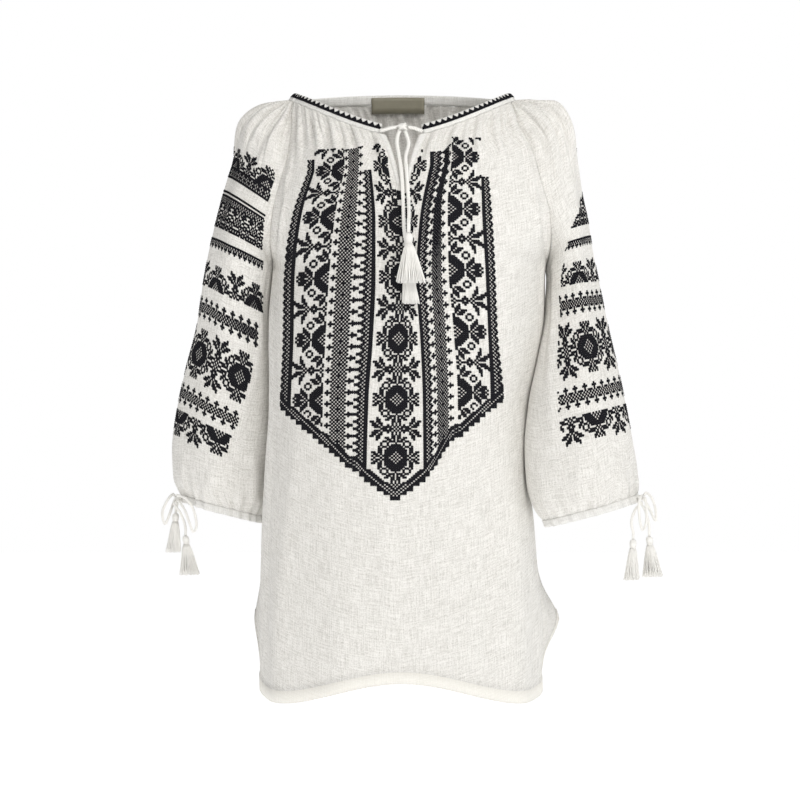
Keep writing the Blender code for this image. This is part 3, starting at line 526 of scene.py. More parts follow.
class PanelSurface:
    """Front or back form: rows between the raglan seams, then down to the hem."""

    def __init__(self, face: Face, rows: Sequence[Sequence[float]]) -> None:
        """Keep the face and its table of yoke rows."""
        self.face = face.value
        self.table = Table(YOKE_COLUMNS, rows)
        self.torso = Table(TORSO_COLUMNS, TORSO)
        self.hem = next(dict(zip(HEM_COLUMNS, row)) for row in HEM if row[0] == self.face)
        self.depth_name = "front_y" if self.face < 0 else "back_y"

    def yoke_point(self, across: np.ndarray, row: np.ndarray) -> np.ndarray:
        """Points above the underarm.

        Args:
            across: Places across, from -1 to 1.
            row: Rows from 0 to the underarm row.

        Returns:
            One point a place.
        """
        left = ARMS[Side.LEFT].point(float(self.face), row)
        right = ARMS[Side.RIGHT].point(float(self.face), row)
        half_turn = np.radians(self.table.at("half_turn", row))
        angle = across * half_turn
        place = np.sin(angle) / np.sin(half_turn)
        edge = left + (right - left) * ((place + 1.0) / 2.0)[..., None]
        bow = (np.cos(angle) - np.cos(half_turn)) / (1.0 - np.cos(half_turn))
        y = edge[..., 1] + (self.table.at("middle_y", row) - edge[..., 1]) * bow
        sag = 1.0 - np.abs(place) ** self.table.at("round", row)
        z = edge[..., 2] + (self.table.at("middle_z", row) - edge[..., 2]) * sag
        return np.stack((edge[..., 0], y, z), -1)

    def hem_height(self, across: np.ndarray) -> np.ndarray:
        """Height of the curved hem."""
        dip = self.hem["low"] * np.sin(math.pi / 2.0 * np.minimum(np.abs(across) / HEM_LOW_AT, 1.0)) ** 2
        return self.hem["middle_z"] + dip + self.hem["side_lift"] * np.abs(across) ** 14

    def point(self, across: np.ndarray, row: np.ndarray) -> np.ndarray:
        """Points of the panel.

        Args:
            across: Places across, from -1 to 1.
            row: Rows, 6 at the underarm and 7 at the hem.

        Returns:
            One point a place.
        """
        across, row = np.broadcast_arrays(np.asarray(across, float), np.asarray(row, float))
        yoke = self.yoke_point(across, np.minimum(row, UNDERARM_ROW))
        top = self.yoke_point(across, np.full(across.shape, UNDERARM_ROW))[..., 2]
        angle = across * math.pi / 2.0
        z = top + (self.hem_height(across) - top) * np.maximum(row - UNDERARM_ROW, 0.0)
        left, right = self.torso.at("left_x", -z), self.torso.at("right_x", -z)
        reach = (right - left) / 2.0 - notch(UNDERARM_Z - z, 0.8) * np.abs(across) ** 8
        flare = np.where(across < 0.0, SIDE_FLARE[-1], SIDE_FLARE[1])
        flare = flare * np.exp(-(((z + 604.0) / 34.0) ** 2)) * np.abs(across) ** 14
        x = (left + right) / 2.0 + (reach + flare) * np.sin(angle)
        y = self.torso.at(self.depth_name, -z) * np.cos(angle)
        lower = np.stack((x, y, z), -1)
        return np.where((row <= UNDERARM_ROW)[..., None], yoke, lower)

    def normal(self, across: np.ndarray, row: np.ndarray) -> np.ndarray:
        """Outward normals of the panel, read on one side of the underarm row."""
        across, row = np.broadcast_arrays(np.asarray(across, float), np.asarray(row, float))
        place = self.point(across, row)
        middle = np.stack((place[..., 0] * 0.0, place[..., 1] * 0.0, place[..., 2]), -1)
        upper = numeric_normal(
            self.point, across, np.minimum(row, UNDERARM_ROW), (0.0, UNDERARM_ROW), middle)
        low = UNDERARM_ROW + 1e-6
        lower = numeric_normal(self.point, across, np.maximum(row, low), (low, 7.0), middle)
        return np.where((row <= UNDERARM_ROW)[..., None], upper, lower)

    def across_at(self, x: np.ndarray, row: np.ndarray) -> np.ndarray:
        """Place across a row of a distance x, by halving.

        Args:
            x: Distances.
            row: Rows.

        Returns:
            Places from -1 to 1.
        """
        x, row = np.broadcast_arrays(np.asarray(x, float), np.asarray(row, float))
        low, high = np.full(x.shape, -1.0), np.full(x.shape, 1.0)
        for _ in range(34):
            middle = (low + high) / 2.0
            less = self.point(middle, row)[..., 0] < x
            low, high = np.where(less, middle, low), np.where(less, high, middle)
        return (low + high) / 2.0


ARMS = {Side.LEFT: ArmSurface(Side.LEFT, ARM_LEFT), Side.RIGHT: ArmSurface(Side.RIGHT, ARM_RIGHT)}
PANELS = {
    Face.FRONT: PanelSurface(Face.FRONT, FRONT_YOKE),
    Face.BACK: PanelSurface(Face.BACK, BACK_YOKE),
}


def neck_frame(
    surface: ArmSurface | PanelSurface, place: np.ndarray
) -> tuple[np.ndarray, np.ndarray, np.ndarray]:
    """Point, upward and outward directions on the neck ring.

    Args:
        surface: Sleeve or panel.
        place: Places across it.

    Returns:
        Points, upward directions and outward directions.
    """
    place = np.asarray(place, float)
    top = np.zeros(place.shape)
    point = surface.point(place, top)
    before = surface.point(np.maximum(place - 0.01, -1.0), top)
    after = surface.point(np.minimum(place + 0.01, 1.0), top)
    tangent = unit(after - before)
    inward = unit(np.stack((-point[..., 0], -4.0 - point[..., 1], top), -1))
    side = np.minimum(np.abs(point[..., 0]) / 130.0, 1.0)
    rise = np.radians(78.0 - 32.0 * side ** 2)[..., None]
    raw = inward * np.cos(rise) + np.array((0.0, 0.0, 1.0)) * np.sin(rise)
    up = unit(raw - tangent * (raw * tangent).sum(-1, keepdims=True))
    outward = unit(np.cross(tangent, up))
    radial = np.stack((point[..., 0], point[..., 1] + 4.0, top + 40.0), -1)
    sign = np.where((outward * radial).sum(-1, keepdims=True) < 0.0, -1.0, 1.0)
    return point, up, outward * sign


def cuff_outward(arm: ArmSurface, turn: np.ndarray) -> np.ndarray:
    """Outward directions at the cuff, square to the way down the arm."""
    turn = np.asarray(turn, float)
    down = arm.down(13.0)
    normal = arm.normal(turn, np.full(turn.shape, 13.0))
    return unit(normal - down * (normal @ down)[..., None])


def fold_height(folds: Sequence[Sequence[float]], across: np.ndarray, drop: np.ndarray) -> np.ndarray:
    """Height of the largest folds.

    Args:
        folds: Rows of the fold table.
        across: Places across.
        drop: Distances below the neck, in millimetres.

    Returns:
        Heights in millimetres.
    """
    total = np.zeros(np.broadcast(across, drop).shape)
    for place, width, height, start, full in folds:
        shape = np.exp(-(((across - place) / width) ** 2))
        total = total + height * shape * smoothstep(start, full, drop)
    return total


def crease_height(creases: Sequence[Sequence[float]], across: np.ndarray, row: np.ndarray) -> np.ndarray:
    """Height of the listed creases.

    Args:
        creases: Rows of the crease table.
        across: Places across.
        row: Rows.

    Returns:
        Heights in millimetres.
    """
    total = np.zeros(np.broadcast(across, row).shape)
    for top, foot, width, height, start, end in creases:
        part = np.clip((row - start) / (end - start), 0.0, 1.0)
        middle = top + (foot - top) * part
        fade = np.sin(math.pi * part) ** 0.8
        total = total + 1.5 * height * np.exp(-(((across - middle) / width) ** 2)) * fade
    return total


def gather_height(phase: np.ndarray, row: np.ndarray, offset: int = 0, reach: float = 1.0) -> np.ndarray:
    """Uneven gathers below a drawn edge, one a whole step of phase.

    Args:
        phase: Places counted in gathers.
        row: Rows below the drawn edge.
        offset: Which gather of the table comes first.
        reach: How much longer than the table the gathers run.

    Returns:
        Heights in millimetres, about as deep below the cloth as above it.
    """
    total = np.zeros(np.broadcast(phase, row).shape)
    first, last = int(np.floor(phase.min())) - 1, int(np.ceil(phase.max())) + 1
    for place in range(first, last + 1):
        shift, width, height, end = GATHERS[(place + offset) % len(GATHERS)]
        away = (phase - place - 0.5 - shift) / (width * 2.0)
        shape = np.sqrt(np.maximum(1.0 - away ** 2, 0.0))
        total = np.maximum(total, height * 2.3 * shape * (1.0 - smoothstep(end * reach * 0.3, end * reach, row)))
    valley = 3.4 * (1.0 - smoothstep(0.3 * reach, 2.2 * reach, row))
    return (total - valley) * (0.42 + 0.58 * smoothstep(0.0, 0.4, row))


# Materials

Nodes = bpy.types.NodeTree
Socket = bpy.types.NodeSocket


def new_material(name: str) -> tuple[bpy.types.Material, Nodes, bpy.types.ShaderNode]:
    """Empty node material.

    Args:
        name: Its name.

    Returns:
        The material, its node tree and its shader.
    """
    material = bpy.data.materials.new(name)
    material.use_nodes = True
    tree = material.node_tree
    return material, tree, tree.nodes["Principled BSDF"]


def math_node(tree: Nodes, kind: str, first: Socket | float, second: Socket | float = 0.0) -> Socket:
    """One step of arithmetic in a material.

    Args:
        tree: Node tree.
        kind: Blender's name of the operation.
        first: Socket or number.
        second: Socket or number.

    Returns:
        The result's socket.
    """
    node = tree.nodes.new("ShaderNodeMath")
    node.operation = kind
    for socket, value in zip(node.inputs, (first, second)):
        if isinstance(value, bpy.types.NodeSocket):
            tree.links.new(value, socket)
        else:
            socket.default_value = value
    return node.outputs[0]


def noise_node(tree: Nodes, vector: Socket, scale: tuple[float, float, float], detail: float = 2.0) -> Socket:
    """Noise with its own scale along each axis.

    Args:
        tree: Node tree.
        vector: Coordinates.
        scale: Scale along each axis.
        detail: Noise detail.

    Returns:
        The noise's value.
    """
    mapping = tree.nodes.new("ShaderNodeMapping")
    mapping.inputs["Scale"].default_value = scale
    tree.links.new(vector, mapping.inputs["Vector"])
    noise = tree.nodes.new("ShaderNodeTexNoise")
    noise.inputs["Scale"].default_value = 1.0
    noise.inputs["Detail"].default_value = detail
    tree.links.new(mapping.outputs[0], noise.inputs["Vector"])
    return noise.outputs[0]


def mix_colours(tree: Nodes, factor: Socket, first: Sequence[float], second: Sequence[float]) -> Socket:
    """Colour between two by a factor.

    Args:
        tree: Node tree.
        factor: Share of the second colour.
        first: Colour at 0.
        second: Colour at 1.

    Returns:
        The colour's socket.
    """
    ramp = tree.nodes.new("ShaderNodeValToRGB")
    ramp.color_ramp.elements[0].color = (*first, 1.0)
    ramp.color_ramp.elements[1].color = (*second, 1.0)
    tree.links.new(factor, ramp.inputs[0])
    return ramp.outputs[0]


def add_bump(tree: Nodes, shader: bpy.types.ShaderNode, height: Socket, strength: float, distance: float) -> None:
    """Bump from a height.

    Args:
        tree: Node tree.
        shader: Shader that takes it.
        height: Height's socket.
        strength: Bump strength.
        distance: Depth in metres.
    """
    bump = tree.nodes.new("ShaderNodeBump")
    bump.inputs["Strength"].default_value = strength
    bump.inputs["Distance"].default_value = distance
    tree.links.new(height, bump.inputs["Height"])
    tree.links.new(bump.outputs[0], shader.inputs["Normal"])


@dataclass(frozen=True)
class LinenFinish:
    """Plain weave with slubs, along and across the cloth."""

    light: tuple[float, float, float] = (0.875, 0.862, 0.83)
    dark: tuple[float, float, float] = (0.48, 0.465, 0.425)
    thread: float = 0.00085
    slub: float = 1.0
    depth: float = 0.00035

    def material(self, name: str) -> bpy.types.Material:
        """Build the material.

        Args:
            name: Its name.

        Returns:
            A node material that follows the cloth's own coordinates.
        """
        material, tree, shader = new_material(name)
        coordinates = tree.nodes.new("ShaderNodeTexCoord").outputs["UV"]
        split = tree.nodes.new("ShaderNodeSeparateXYZ")
        tree.links.new(coordinates, split.inputs[0])
        turn = 2.0 * math.pi / (2.0 * self.thread)
        warp = math_node(tree, "SINE", math_node(tree, "MULTIPLY", split.outputs[0], turn))
        weft = math_node(tree, "SINE", math_node(tree, "MULTIPLY", split.outputs[1], turn))
        weave = math_node(tree, "MULTIPLY", warp, weft)
        down = noise_node(tree, coordinates, (760.0, 52.0, 1.0), 3.0)
        along = noise_node(tree, coordinates, (52.0, 760.0, 1.0), 3.0)
        patch = noise_node(tree, coordinates, (620.0, 540.0, 1.0), 3.0)
        slubs = math_node(tree, "ADD", down, along)
        thin = math_node(tree, "MULTIPLY", math_node(tree, "SUBTRACT", 1.0, slubs), 1.2 * self.slub)
        cloudy = math_node(tree, "MULTIPLY", math_node(tree, "SUBTRACT", 0.5, patch), 1.3 * self.slub)
        tone = math_node(tree, "SUBTRACT", math_node(tree, "ADD", thin, cloudy), math_node(tree, "MULTIPLY", weave, 0.12))
        tone = math_node(tree, "ADD", tone, 0.30)
        tree.links.new(mix_colours(tree, tone, self.light, self.dark), shader.inputs["Base Color"])
        height = math_node(tree, "ADD", math_node(tree, "MULTIPLY", weave, 0.45), slubs)
        add_bump(tree, shader, height, 0.55, self.depth)
        shader.inputs["Roughness"].default_value = 0.86
        shader.inputs["Specular IOR Level"].default_value = 0.25
        shader.inputs["Sheen Weight"].default_value = 0.12
        shader.inputs["Sheen Roughness"].default_value = 0.6
        return material


@dataclass(frozen=True)
class ThreadFinish:
    """Matt spun thread for stitches."""

    light: tuple[float, float, float] = (0.016, 0.016, 0.020)
    dark: tuple[float, float, float] = (0.004, 0.004, 0.006)
    fibre: float = 900.0
    rough: float = 0.8

    def material(self, name: str) -> bpy.types.Material:
        """Build the material.

        Args:
            name: Its name.

        Returns:
            A node material with fine fibre noise.
        """
        material, tree, shader = new_material(name)
        coordinates = tree.nodes.new("ShaderNodeTexCoord").outputs["Object"]
        fibre = noise_node(tree, coordinates, (self.fibre, self.fibre, self.fibre * 1.7), 3.0)
        tree.links.new(mix_colours(tree, fibre, self.dark, self.light), shader.inputs["Base Color"])
        add_bump(tree, shader, fibre, 0.4, 0.0003)
        shader.inputs["Roughness"].default_value = self.rough
        shader.inputs["Specular IOR Level"].default_value = 0.12
        return material


@dataclass(frozen=True)
class LabelFinish:
    """Blank satin-woven label."""

    light: tuple[float, float, float] = (0.30, 0.28, 0.21)
    dark: tuple[float, float, float] = (0.19, 0.178, 0.13)

    def material(self, name: str) -> bpy.types.Material:
        """Build the material.

        Args:
            name: Its name.

        Returns:
            A node material with fine ribs.
        """
        material, tree, shader = new_material(name)
        coordinates = tree.nodes.new("ShaderNodeTexCoord").outputs["UV"]
        ribs = noise_node(tree, coordinates, (40.0, 2600.0, 1.0), 2.0)
        mottle = noise_node(tree, coordinates, (120.0, 120.0, 1.0), 4.0)
        tone = math_node(tree, "MULTIPLY", math_node(tree, "ADD", ribs, mottle), 0.5)
        tree.links.new(mix_colours(tree, tone, self.dark, self.light), shader.inputs["Base Color"])
        add_bump(tree, shader, ribs, 0.4, 0.0002)
        shader.inputs["Roughness"].default_value = 0.5
        shader.inputs["Anisotropic"].default_value = 0.3
        return material


@dataclass(frozen=True)
class FloorFinish:
    """Pale studio floor."""

    tone: tuple[float, float, float] = (0.92, 0.92, 0.92)
    glow: float = 0.74

    def material(self, name: str) -> bpy.types.Material:
        """Build the material.

        Args:
            name: Its name.

        Returns:
            A near-white node material.
        """
        material, tree, shader = new_material(name)
        coordinates = tree.nodes.new("ShaderNodeTexCoord").outputs["Object"]
        grain = noise_node(tree, coordinates, (3.0, 3.0, 3.0), 2.0)
        darker = tuple(value * 0.99 for value in self.tone)
        tree.links.new(mix_colours(tree, grain, darker, self.tone), shader.inputs["Base Color"])
        shader.inputs["Roughness"].default_value = 0.9
        shader.inputs["Emission Color"].default_value = (1.0, 1.0, 1.0, 1.0)
        shader.inputs["Emission Strength"].default_value = self.glow
        return material


LINEN = LinenFinish()
TRIM = LinenFinish(light=(0.89, 0.885, 0.86), dark=(0.56, 0.55, 0.52), slub=0.7)
HEM_LINEN = LinenFinish(light=(0.91, 0.895, 0.845), dark=(0.72, 0.695, 0.63), slub=0.6)
BLACK_THREAD = ThreadFinish()
WHITE_CORD = ThreadFinish(light=(0.96, 0.95, 0.92), dark=(0.80, 0.79, 0.755), rough=0.8)


# Meshes

def mesh_piece(
    name: str,
    points: np.ndarray,
    faces: Sequence[Sequence[int]],
    material: bpy.types.Material,
    nodes: Sequence[str] = (),
    uv: np.ndarray | None = None,
    weld: bool = False,
    shell: float = 0.0,
    hem: tuple[bpy.types.Material, Sequence[int]] | None = None,
) -> bpy.types.Object:
    """Make one piece of the blouse from points and faces.

    Args:
        name: Piece name.
        points: Points in millimetres.
        faces: Corners of each face.
        material: Finish.
        nodes: CAD nodes that it stands for.
        uv: Cloth coordinates of each point, in metres.
        weld: Join points that lie on each other.
        shell: Thickness to give an open surface, in millimetres.
        hem: Finish of the doubled hem, and 1 for each of its faces.

    Returns:
        The piece, riding on the body.
    """
    mesh = bpy.data.meshes.new(name)
    mesh.from_pydata((np.asarray(points) * MM).tolist(), [], faces)
    if uv is not None:
        layer = mesh.uv_layers.new(name="cloth")
        corners = np.empty(len(mesh.loops), dtype=np.int32)
        mesh.loops.foreach_get("vertex_index", corners)
        layer.data.foreach_set("uv", np.asarray(uv, dtype=np.float32)[corners].ravel())
    mesh.materials.append(material)
    if hem is not None:
        mesh.materials.append(hem[0])
        mesh.polygons.foreach_set("material_index", np.array(hem[1], dtype=np.int32))
    if weld:
        body = bmesh.new()
        body.from_mesh(mesh)
        bmesh.ops.remove_doubles(body, verts=body.verts, dist=1e-6)
        body.to_mesh(mesh)
        body.free()
    mesh.polygons.foreach_set("use_smooth", np.ones(len(mesh.polygons), dtype=bool))
    thing = bpy.data.objects.new(name, mesh)
    bpy.context.scene.collection.objects.link(thing)
    if shell:
        thickness = thing.modifiers.new("thickness", "SOLIDIFY")
        thickness.thickness = shell * MM
        thickness.offset = -1.0
    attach(thing, "root")
    if nodes:
        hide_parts(*nodes)
    return thing


def grid_faces(rows: int, columns: int, closed: bool = False, flip: bool = False) -> list[tuple[int, ...]]:
    """Faces of a grid of points.

    Args:
        rows: Number of rows.
        columns: Points a row.
        closed: Join the last column to the first.
        flip: Turn the faces over.

    Returns:
        Corners of each face.
    """
    faces = []
    for row in range(rows - 1):
        for column in range(columns if closed else columns - 1):
            after = (column + 1) % columns
            face = (row * columns + column, (row + 1) * columns + column,
                    (row + 1) * columns + after, row * columns + after)
            faces.append(face[::-1] if flip else face)
    return faces


def faces_outward(points: np.ndarray, normals: np.ndarray) -> bool:
    """True if a grid's faces need turning over to look along its normals."""
    middle_row, middle_column = points.shape[0] // 2, points.shape[1] // 2
    here = points[middle_row, middle_column]
    down = points[middle_row + 1, middle_column] - here
    right = points[middle_row, middle_column + 1] - here
    return float(np.dot(np.cross(down, right), normals[middle_row, middle_column])) < 0.0


def cloth_coordinates(points: np.ndarray) -> np.ndarray:
    """Cloth coordinates in metres, measured along the grid.

    Args:
        points: Grid of points in millimetres.

    Returns:
        Two numbers a point: across and down.
    """
    across = np.linalg.norm(np.diff(points, axis=1), axis=-1)
    down = np.linalg.norm(np.diff(points, axis=0), axis=-1)
    u = np.concatenate((np.zeros((points.shape[0], 1)), np.cumsum(across, axis=1)), axis=1)
    v = np.concatenate((np.zeros((1, points.shape[1])), np.cumsum(down, axis=0)), axis=0)
    u = u - u[:, [points.shape[1] // 2]]
    return np.stack((u * MM, -v * MM), -1).reshape(-1, 2)


def tube(path: np.ndarray, radius: np.ndarray | float, sides: int, closed: bool = False) -> tuple[np.ndarray, list]:
    """Round tube along a path.

    Args:
        path: Points in order.
        radius: One radius, or one a point.
        sides: Sides round it.
        closed: Join its end to its start.

    Returns:
        Points and faces.
    """
    path = np.asarray(path, float)
    if closed:
        ways = np.roll(path, -1, axis=0) - np.roll(path, 1, axis=0)
    else:
        ways = np.gradient(path, axis=0)
    ways = unit(ways)
    reference = np.array((0.31, 0.87, 0.38))
    across = unit(np.cross(ways, reference))
    other = np.cross(ways, across)
    turn = 2.0 * math.pi * np.arange(sides) / sides
    wide = np.broadcast_to(np.asarray(radius, float), (len(path),))[:, None, None]
    ring = across[:, None] * np.cos(turn)[None, :, None] + other[:, None] * np.sin(turn)[None, :, None]
    points = (path[:, None] + ring * wide).reshape(-1, 3)
    faces = grid_faces(len(path), sides, closed=True)
    if closed:
        base = (len(path) - 1) * sides
        faces += [(base + k, k, (k + 1) % sides, base + (k + 1) % sides) for k in range(sides)]
    else:
        faces.append(tuple(range(sides)))
        faces.append(tuple(reversed(range((len(path) - 1) * sides, len(path) * sides))))
    return points, faces


class Heap:
    """Points and faces of many small bodies, kept as one piece."""

    def __init__(self) -> None:
        """Start with nothing."""
        self.points: list[np.ndarray] = []
        self.faces: list[tuple[int, ...]] = []
        self.count = 0

    def add(self, points: np.ndarray, faces: Iterable[Sequence[int]]) -> None:
        """Put one more body on the heap.

        Args:
            points: Its points.
            faces: Its faces.
        """
        self.faces.extend(tuple(corner + self.count for corner in face) for face in faces)
        self.points.append(np.asarray(points))
        self.count += len(points)

    def piece(self, name: str, material: bpy.types.Material, nodes: Sequence[str] = (), slot: str = "linen") -> bpy.types.Object:
        """Make the heap a piece."""
        return mesh_piece(name, np.concatenate(self.points), self.faces, material, nodes)


# Cloth

@dataclass
class BodyPanel:
    """Front or back of the blouse, gathered into the neckband."""

    name: str
    face: Face
    folds: Sequence[Sequence[float]]
    creases: Sequence[Sequence[float]]
    flat: tuple[float, float]
    area: float
    cells: int = 224
    gathers: int = 36

    def columns(self, row: float) -> np.ndarray:
        """Places across a row, with the slit left open on the front.

        Args:
            row: The row.

        Returns:
            Places from -1 to 1.
        """
        half = self.cells // 2
        if self.face is Face.BACK:
            return np.linspace(-1.0, 1.0, self.cells + 1)
        panel = PANELS[self.face]
        gap = SLIT_HALF_GAP * max(1.0 - row / SLIT_ROW, 0.0)
        upper = min(row, UNDERARM_ROW)
        left = float(panel.across_at(SLIT_MIDDLE_X - gap, upper))
        right = float(panel.across_at(SLIT_MIDDLE_X + gap, upper))
        keep = 1.0 - float(smoothstep(SLIT_ROW, UNDERARM_ROW, np.array(row)))
        first = np.linspace(-1.0, left * keep, half + 1)
        return np.concatenate((first, np.linspace(right * keep, 1.0, half + 1)))

    def rows(self) -> np.ndarray:
        """Rows from neck to hem, close together where the gathers are."""
        yoke = np.concatenate((np.linspace(0.0, 3.0, 46), np.linspace(3.08, 6.0, 30)))
        return np.concatenate((yoke, np.linspace(6.012, 7.0 - 0.031, 58), (6.9705, 6.985, 7.0)))

    def lift(self, across: np.ndarray, row: np.ndarray, column: np.ndarray, drop: np.ndarray) -> np.ndarray:
        """Height of folds, creases and gathers over the plain form."""
        share = column / self.cells * self.gathers
        inner = smoothstep(0.0, 0.10, 1.0 - np.abs(across))
        seam = smoothstep(0.0, 0.03, 1.0 - np.abs(across))
        front = self.face is Face.FRONT
        gathers = gather_height(share, row, 0 if front else 2, 0.85 if front else 1.1) * seam
        if front:
            half = self.cells // 2
            away = np.minimum(np.abs(column - half), np.abs(column - half - 1))
            gathers = gathers * smoothstep(2.0, 9.0, away)
        creases = crease_height(self.creases, across, row) * smoothstep(0.0, 0.05, 1.0 - np.abs(across))
        ripple = 0.35 * np.sin(across * 31.0 + row * 1.7) * np.sin(drop * 0.021 + across * 5.0)
        folds = fold_height(self.folds, across, drop)
        return gathers + creases + (folds + ripple) * inner

    def build(self) -> bpy.types.Object:
        """Build the panel.

        Returns:
            The cloth.
        """
        panel, rows = PANELS[self.face], self.rows()
        across = np.stack([self.columns(row) for row in rows])
        row = np.broadcast_to(rows[:, None], across.shape)
        column = np.broadcast_to(np.arange(across.shape[1], dtype=float), across.shape)
        base, normal = panel.point(across, row), panel.normal(across, row)
        normal[0] = neck_frame(panel, across[0])[2]
        normal = self.seam_normals(normal, across, row)
        lift = self.lift(across, row, column, -base[..., 2])
        hem = smoothstep(6.969, 6.9704, row) * 0.8
        points = base + normal * (lift + hem)[..., None]
        faces = self.faces(points, normal, rows)
        material, doubled = LINEN.material(self.name + "_linen"), HEM_LINEN.material(self.name + "_hem")
        first = (len(rows) - 3) * across.shape[1]
        thing = mesh_piece(
            self.name + "_cloth", points.reshape(-1, 3), faces, material, (self.name,),
            uv=cloth_coordinates(points), weld=True, shell=SHELL,
            hem=(doubled, [int(min(face) >= first) for face in faces]))
        return thing

    def seam_normals(self, normal: np.ndarray, across: np.ndarray, row: np.ndarray) -> np.ndarray:
        """Ease the normals into the seams that panel and sleeve share."""
        for edge, side in ((0, Side.LEFT), (-1, Side.RIGHT)):
            shared = (rows := row[:, edge]) < UNDERARM_ROW
            shared[0] = False
            sleeve = ARMS[side].normal(float(self.face.value), rows)
            normal[shared, edge] = unit(normal[shared, edge] + sleeve[shared])
        return normal

    def faces(self, points: np.ndarray, normal: np.ndarray, rows: np.ndarray) -> list[tuple[int, ...]]:
        """Faces of the panel, without those that would cross the slit."""
        columns = points.shape[1]
        flip = faces_outward(points, normal)
        faces = grid_faces(len(rows), columns, flip=flip)
        if self.face is Face.BACK:
            return faces
        half = self.cells // 2
        return [face for place, face in enumerate(faces) if place % (columns - 1) != half]


@dataclass
class Sleeve:
    """Raglan sleeve, gathered at neck and cuff."""

    side: Side
    flat: tuple[float, float] = (0.36, 0.50)
    area: float = 0.15
    cells: int = 176
    neck_gathers: int = 17
    cuff_gathers: int = 24

    @property
    def name(self) -> str:
        """Node name of the sleeve."""
        return "sleeve_" + self.side.name.lower()

    def lift(self, turn: np.ndarray, row: np.ndarray) -> np.ndarray:
        """Height of folds, creases and gathers over the plain form.

        Args:
            turn: Places round the sleeve.
            row: Rows.

        Returns:
            Heights in millimetres.
        """
        share = (turn + 1.0) / 2.0
        seam = np.where(row < UNDERARM_ROW, smoothstep(0.0, 0.06, 1.0 - np.abs(turn)), 1.0)
        offset = 1 if self.side is Side.LEFT else 4
        neck = gather_height(share * self.neck_gathers, row, offset, 1.25) * seam
        wave = np.sin(2.0 * math.pi * share * self.cuff_gathers)
        uneven = 0.8 + 0.2 * np.sin(share * 37.0 + offset)
        cuff = 1.9 * smoothstep(11.2, 13.0, row) * wave * uneven
        fade = 1.0 - smoothstep(0.55, 0.9, np.abs(turn))
        folds = fold_height(SLEEVE_FOLDS, turn, row * 36.0) * fade
        mirrored = turn if self.side is Side.LEFT else -turn + 0.03
        creases = crease_height(SLEEVE_CREASES, mirrored, row) * seam
        return neck + cuff + folds + creases

    def point(self, turn: np.ndarray, row: np.ndarray) -> np.ndarray:
        """Points of the dressed sleeve."""
        arm = ARMS[self.side]
        return arm.point(turn, row) + arm.normal(turn, row) * self.lift(turn, row)[..., None]

    def build(self) -> bpy.types.Object:
        """Build the sleeve.

        Returns:
            The cloth.
        """
        arm = ARMS[self.side]
        rows = np.concatenate((np.linspace(0.0, 3.2, 40), np.linspace(3.3, 11.2, 66), np.linspace(11.3, 13.0, 24)))
        turn, row = np.meshgrid(np.linspace(-1.0, 1.0, self.cells + 1), rows)
        base, normal = arm.point(turn, row), arm.normal(turn, row)
        normal[0] = neck_frame(arm, turn[0])[2]
        normal[-1] = cuff_outward(arm, turn[-1])
        for edge, face in ((0, Face.FRONT), (-1, Face.BACK)):
            shared = (rows > 0.0) & (rows < UNDERARM_ROW)
            panel = PANELS[face].normal(np.full(len(rows), float(self.side.value)), rows)
            normal[shared, edge] = unit(normal[shared, edge] + panel[shared])
        points = base + normal * self.lift(turn, row)[..., None]
        closed = rows > UNDERARM_ROW
        points[closed, -1] = points[closed, 0]
        faces = grid_faces(len(rows), points.shape[1], flip=faces_outward(points, normal))
        material = LINEN.material(self.name + "_linen")
        thing = mesh_piece(
            self.name + "_cloth", points.reshape(-1, 3), faces, material, (self.name,),
            uv=cloth_coordinates(points), weld=True, shell=SHELL)
        return thing


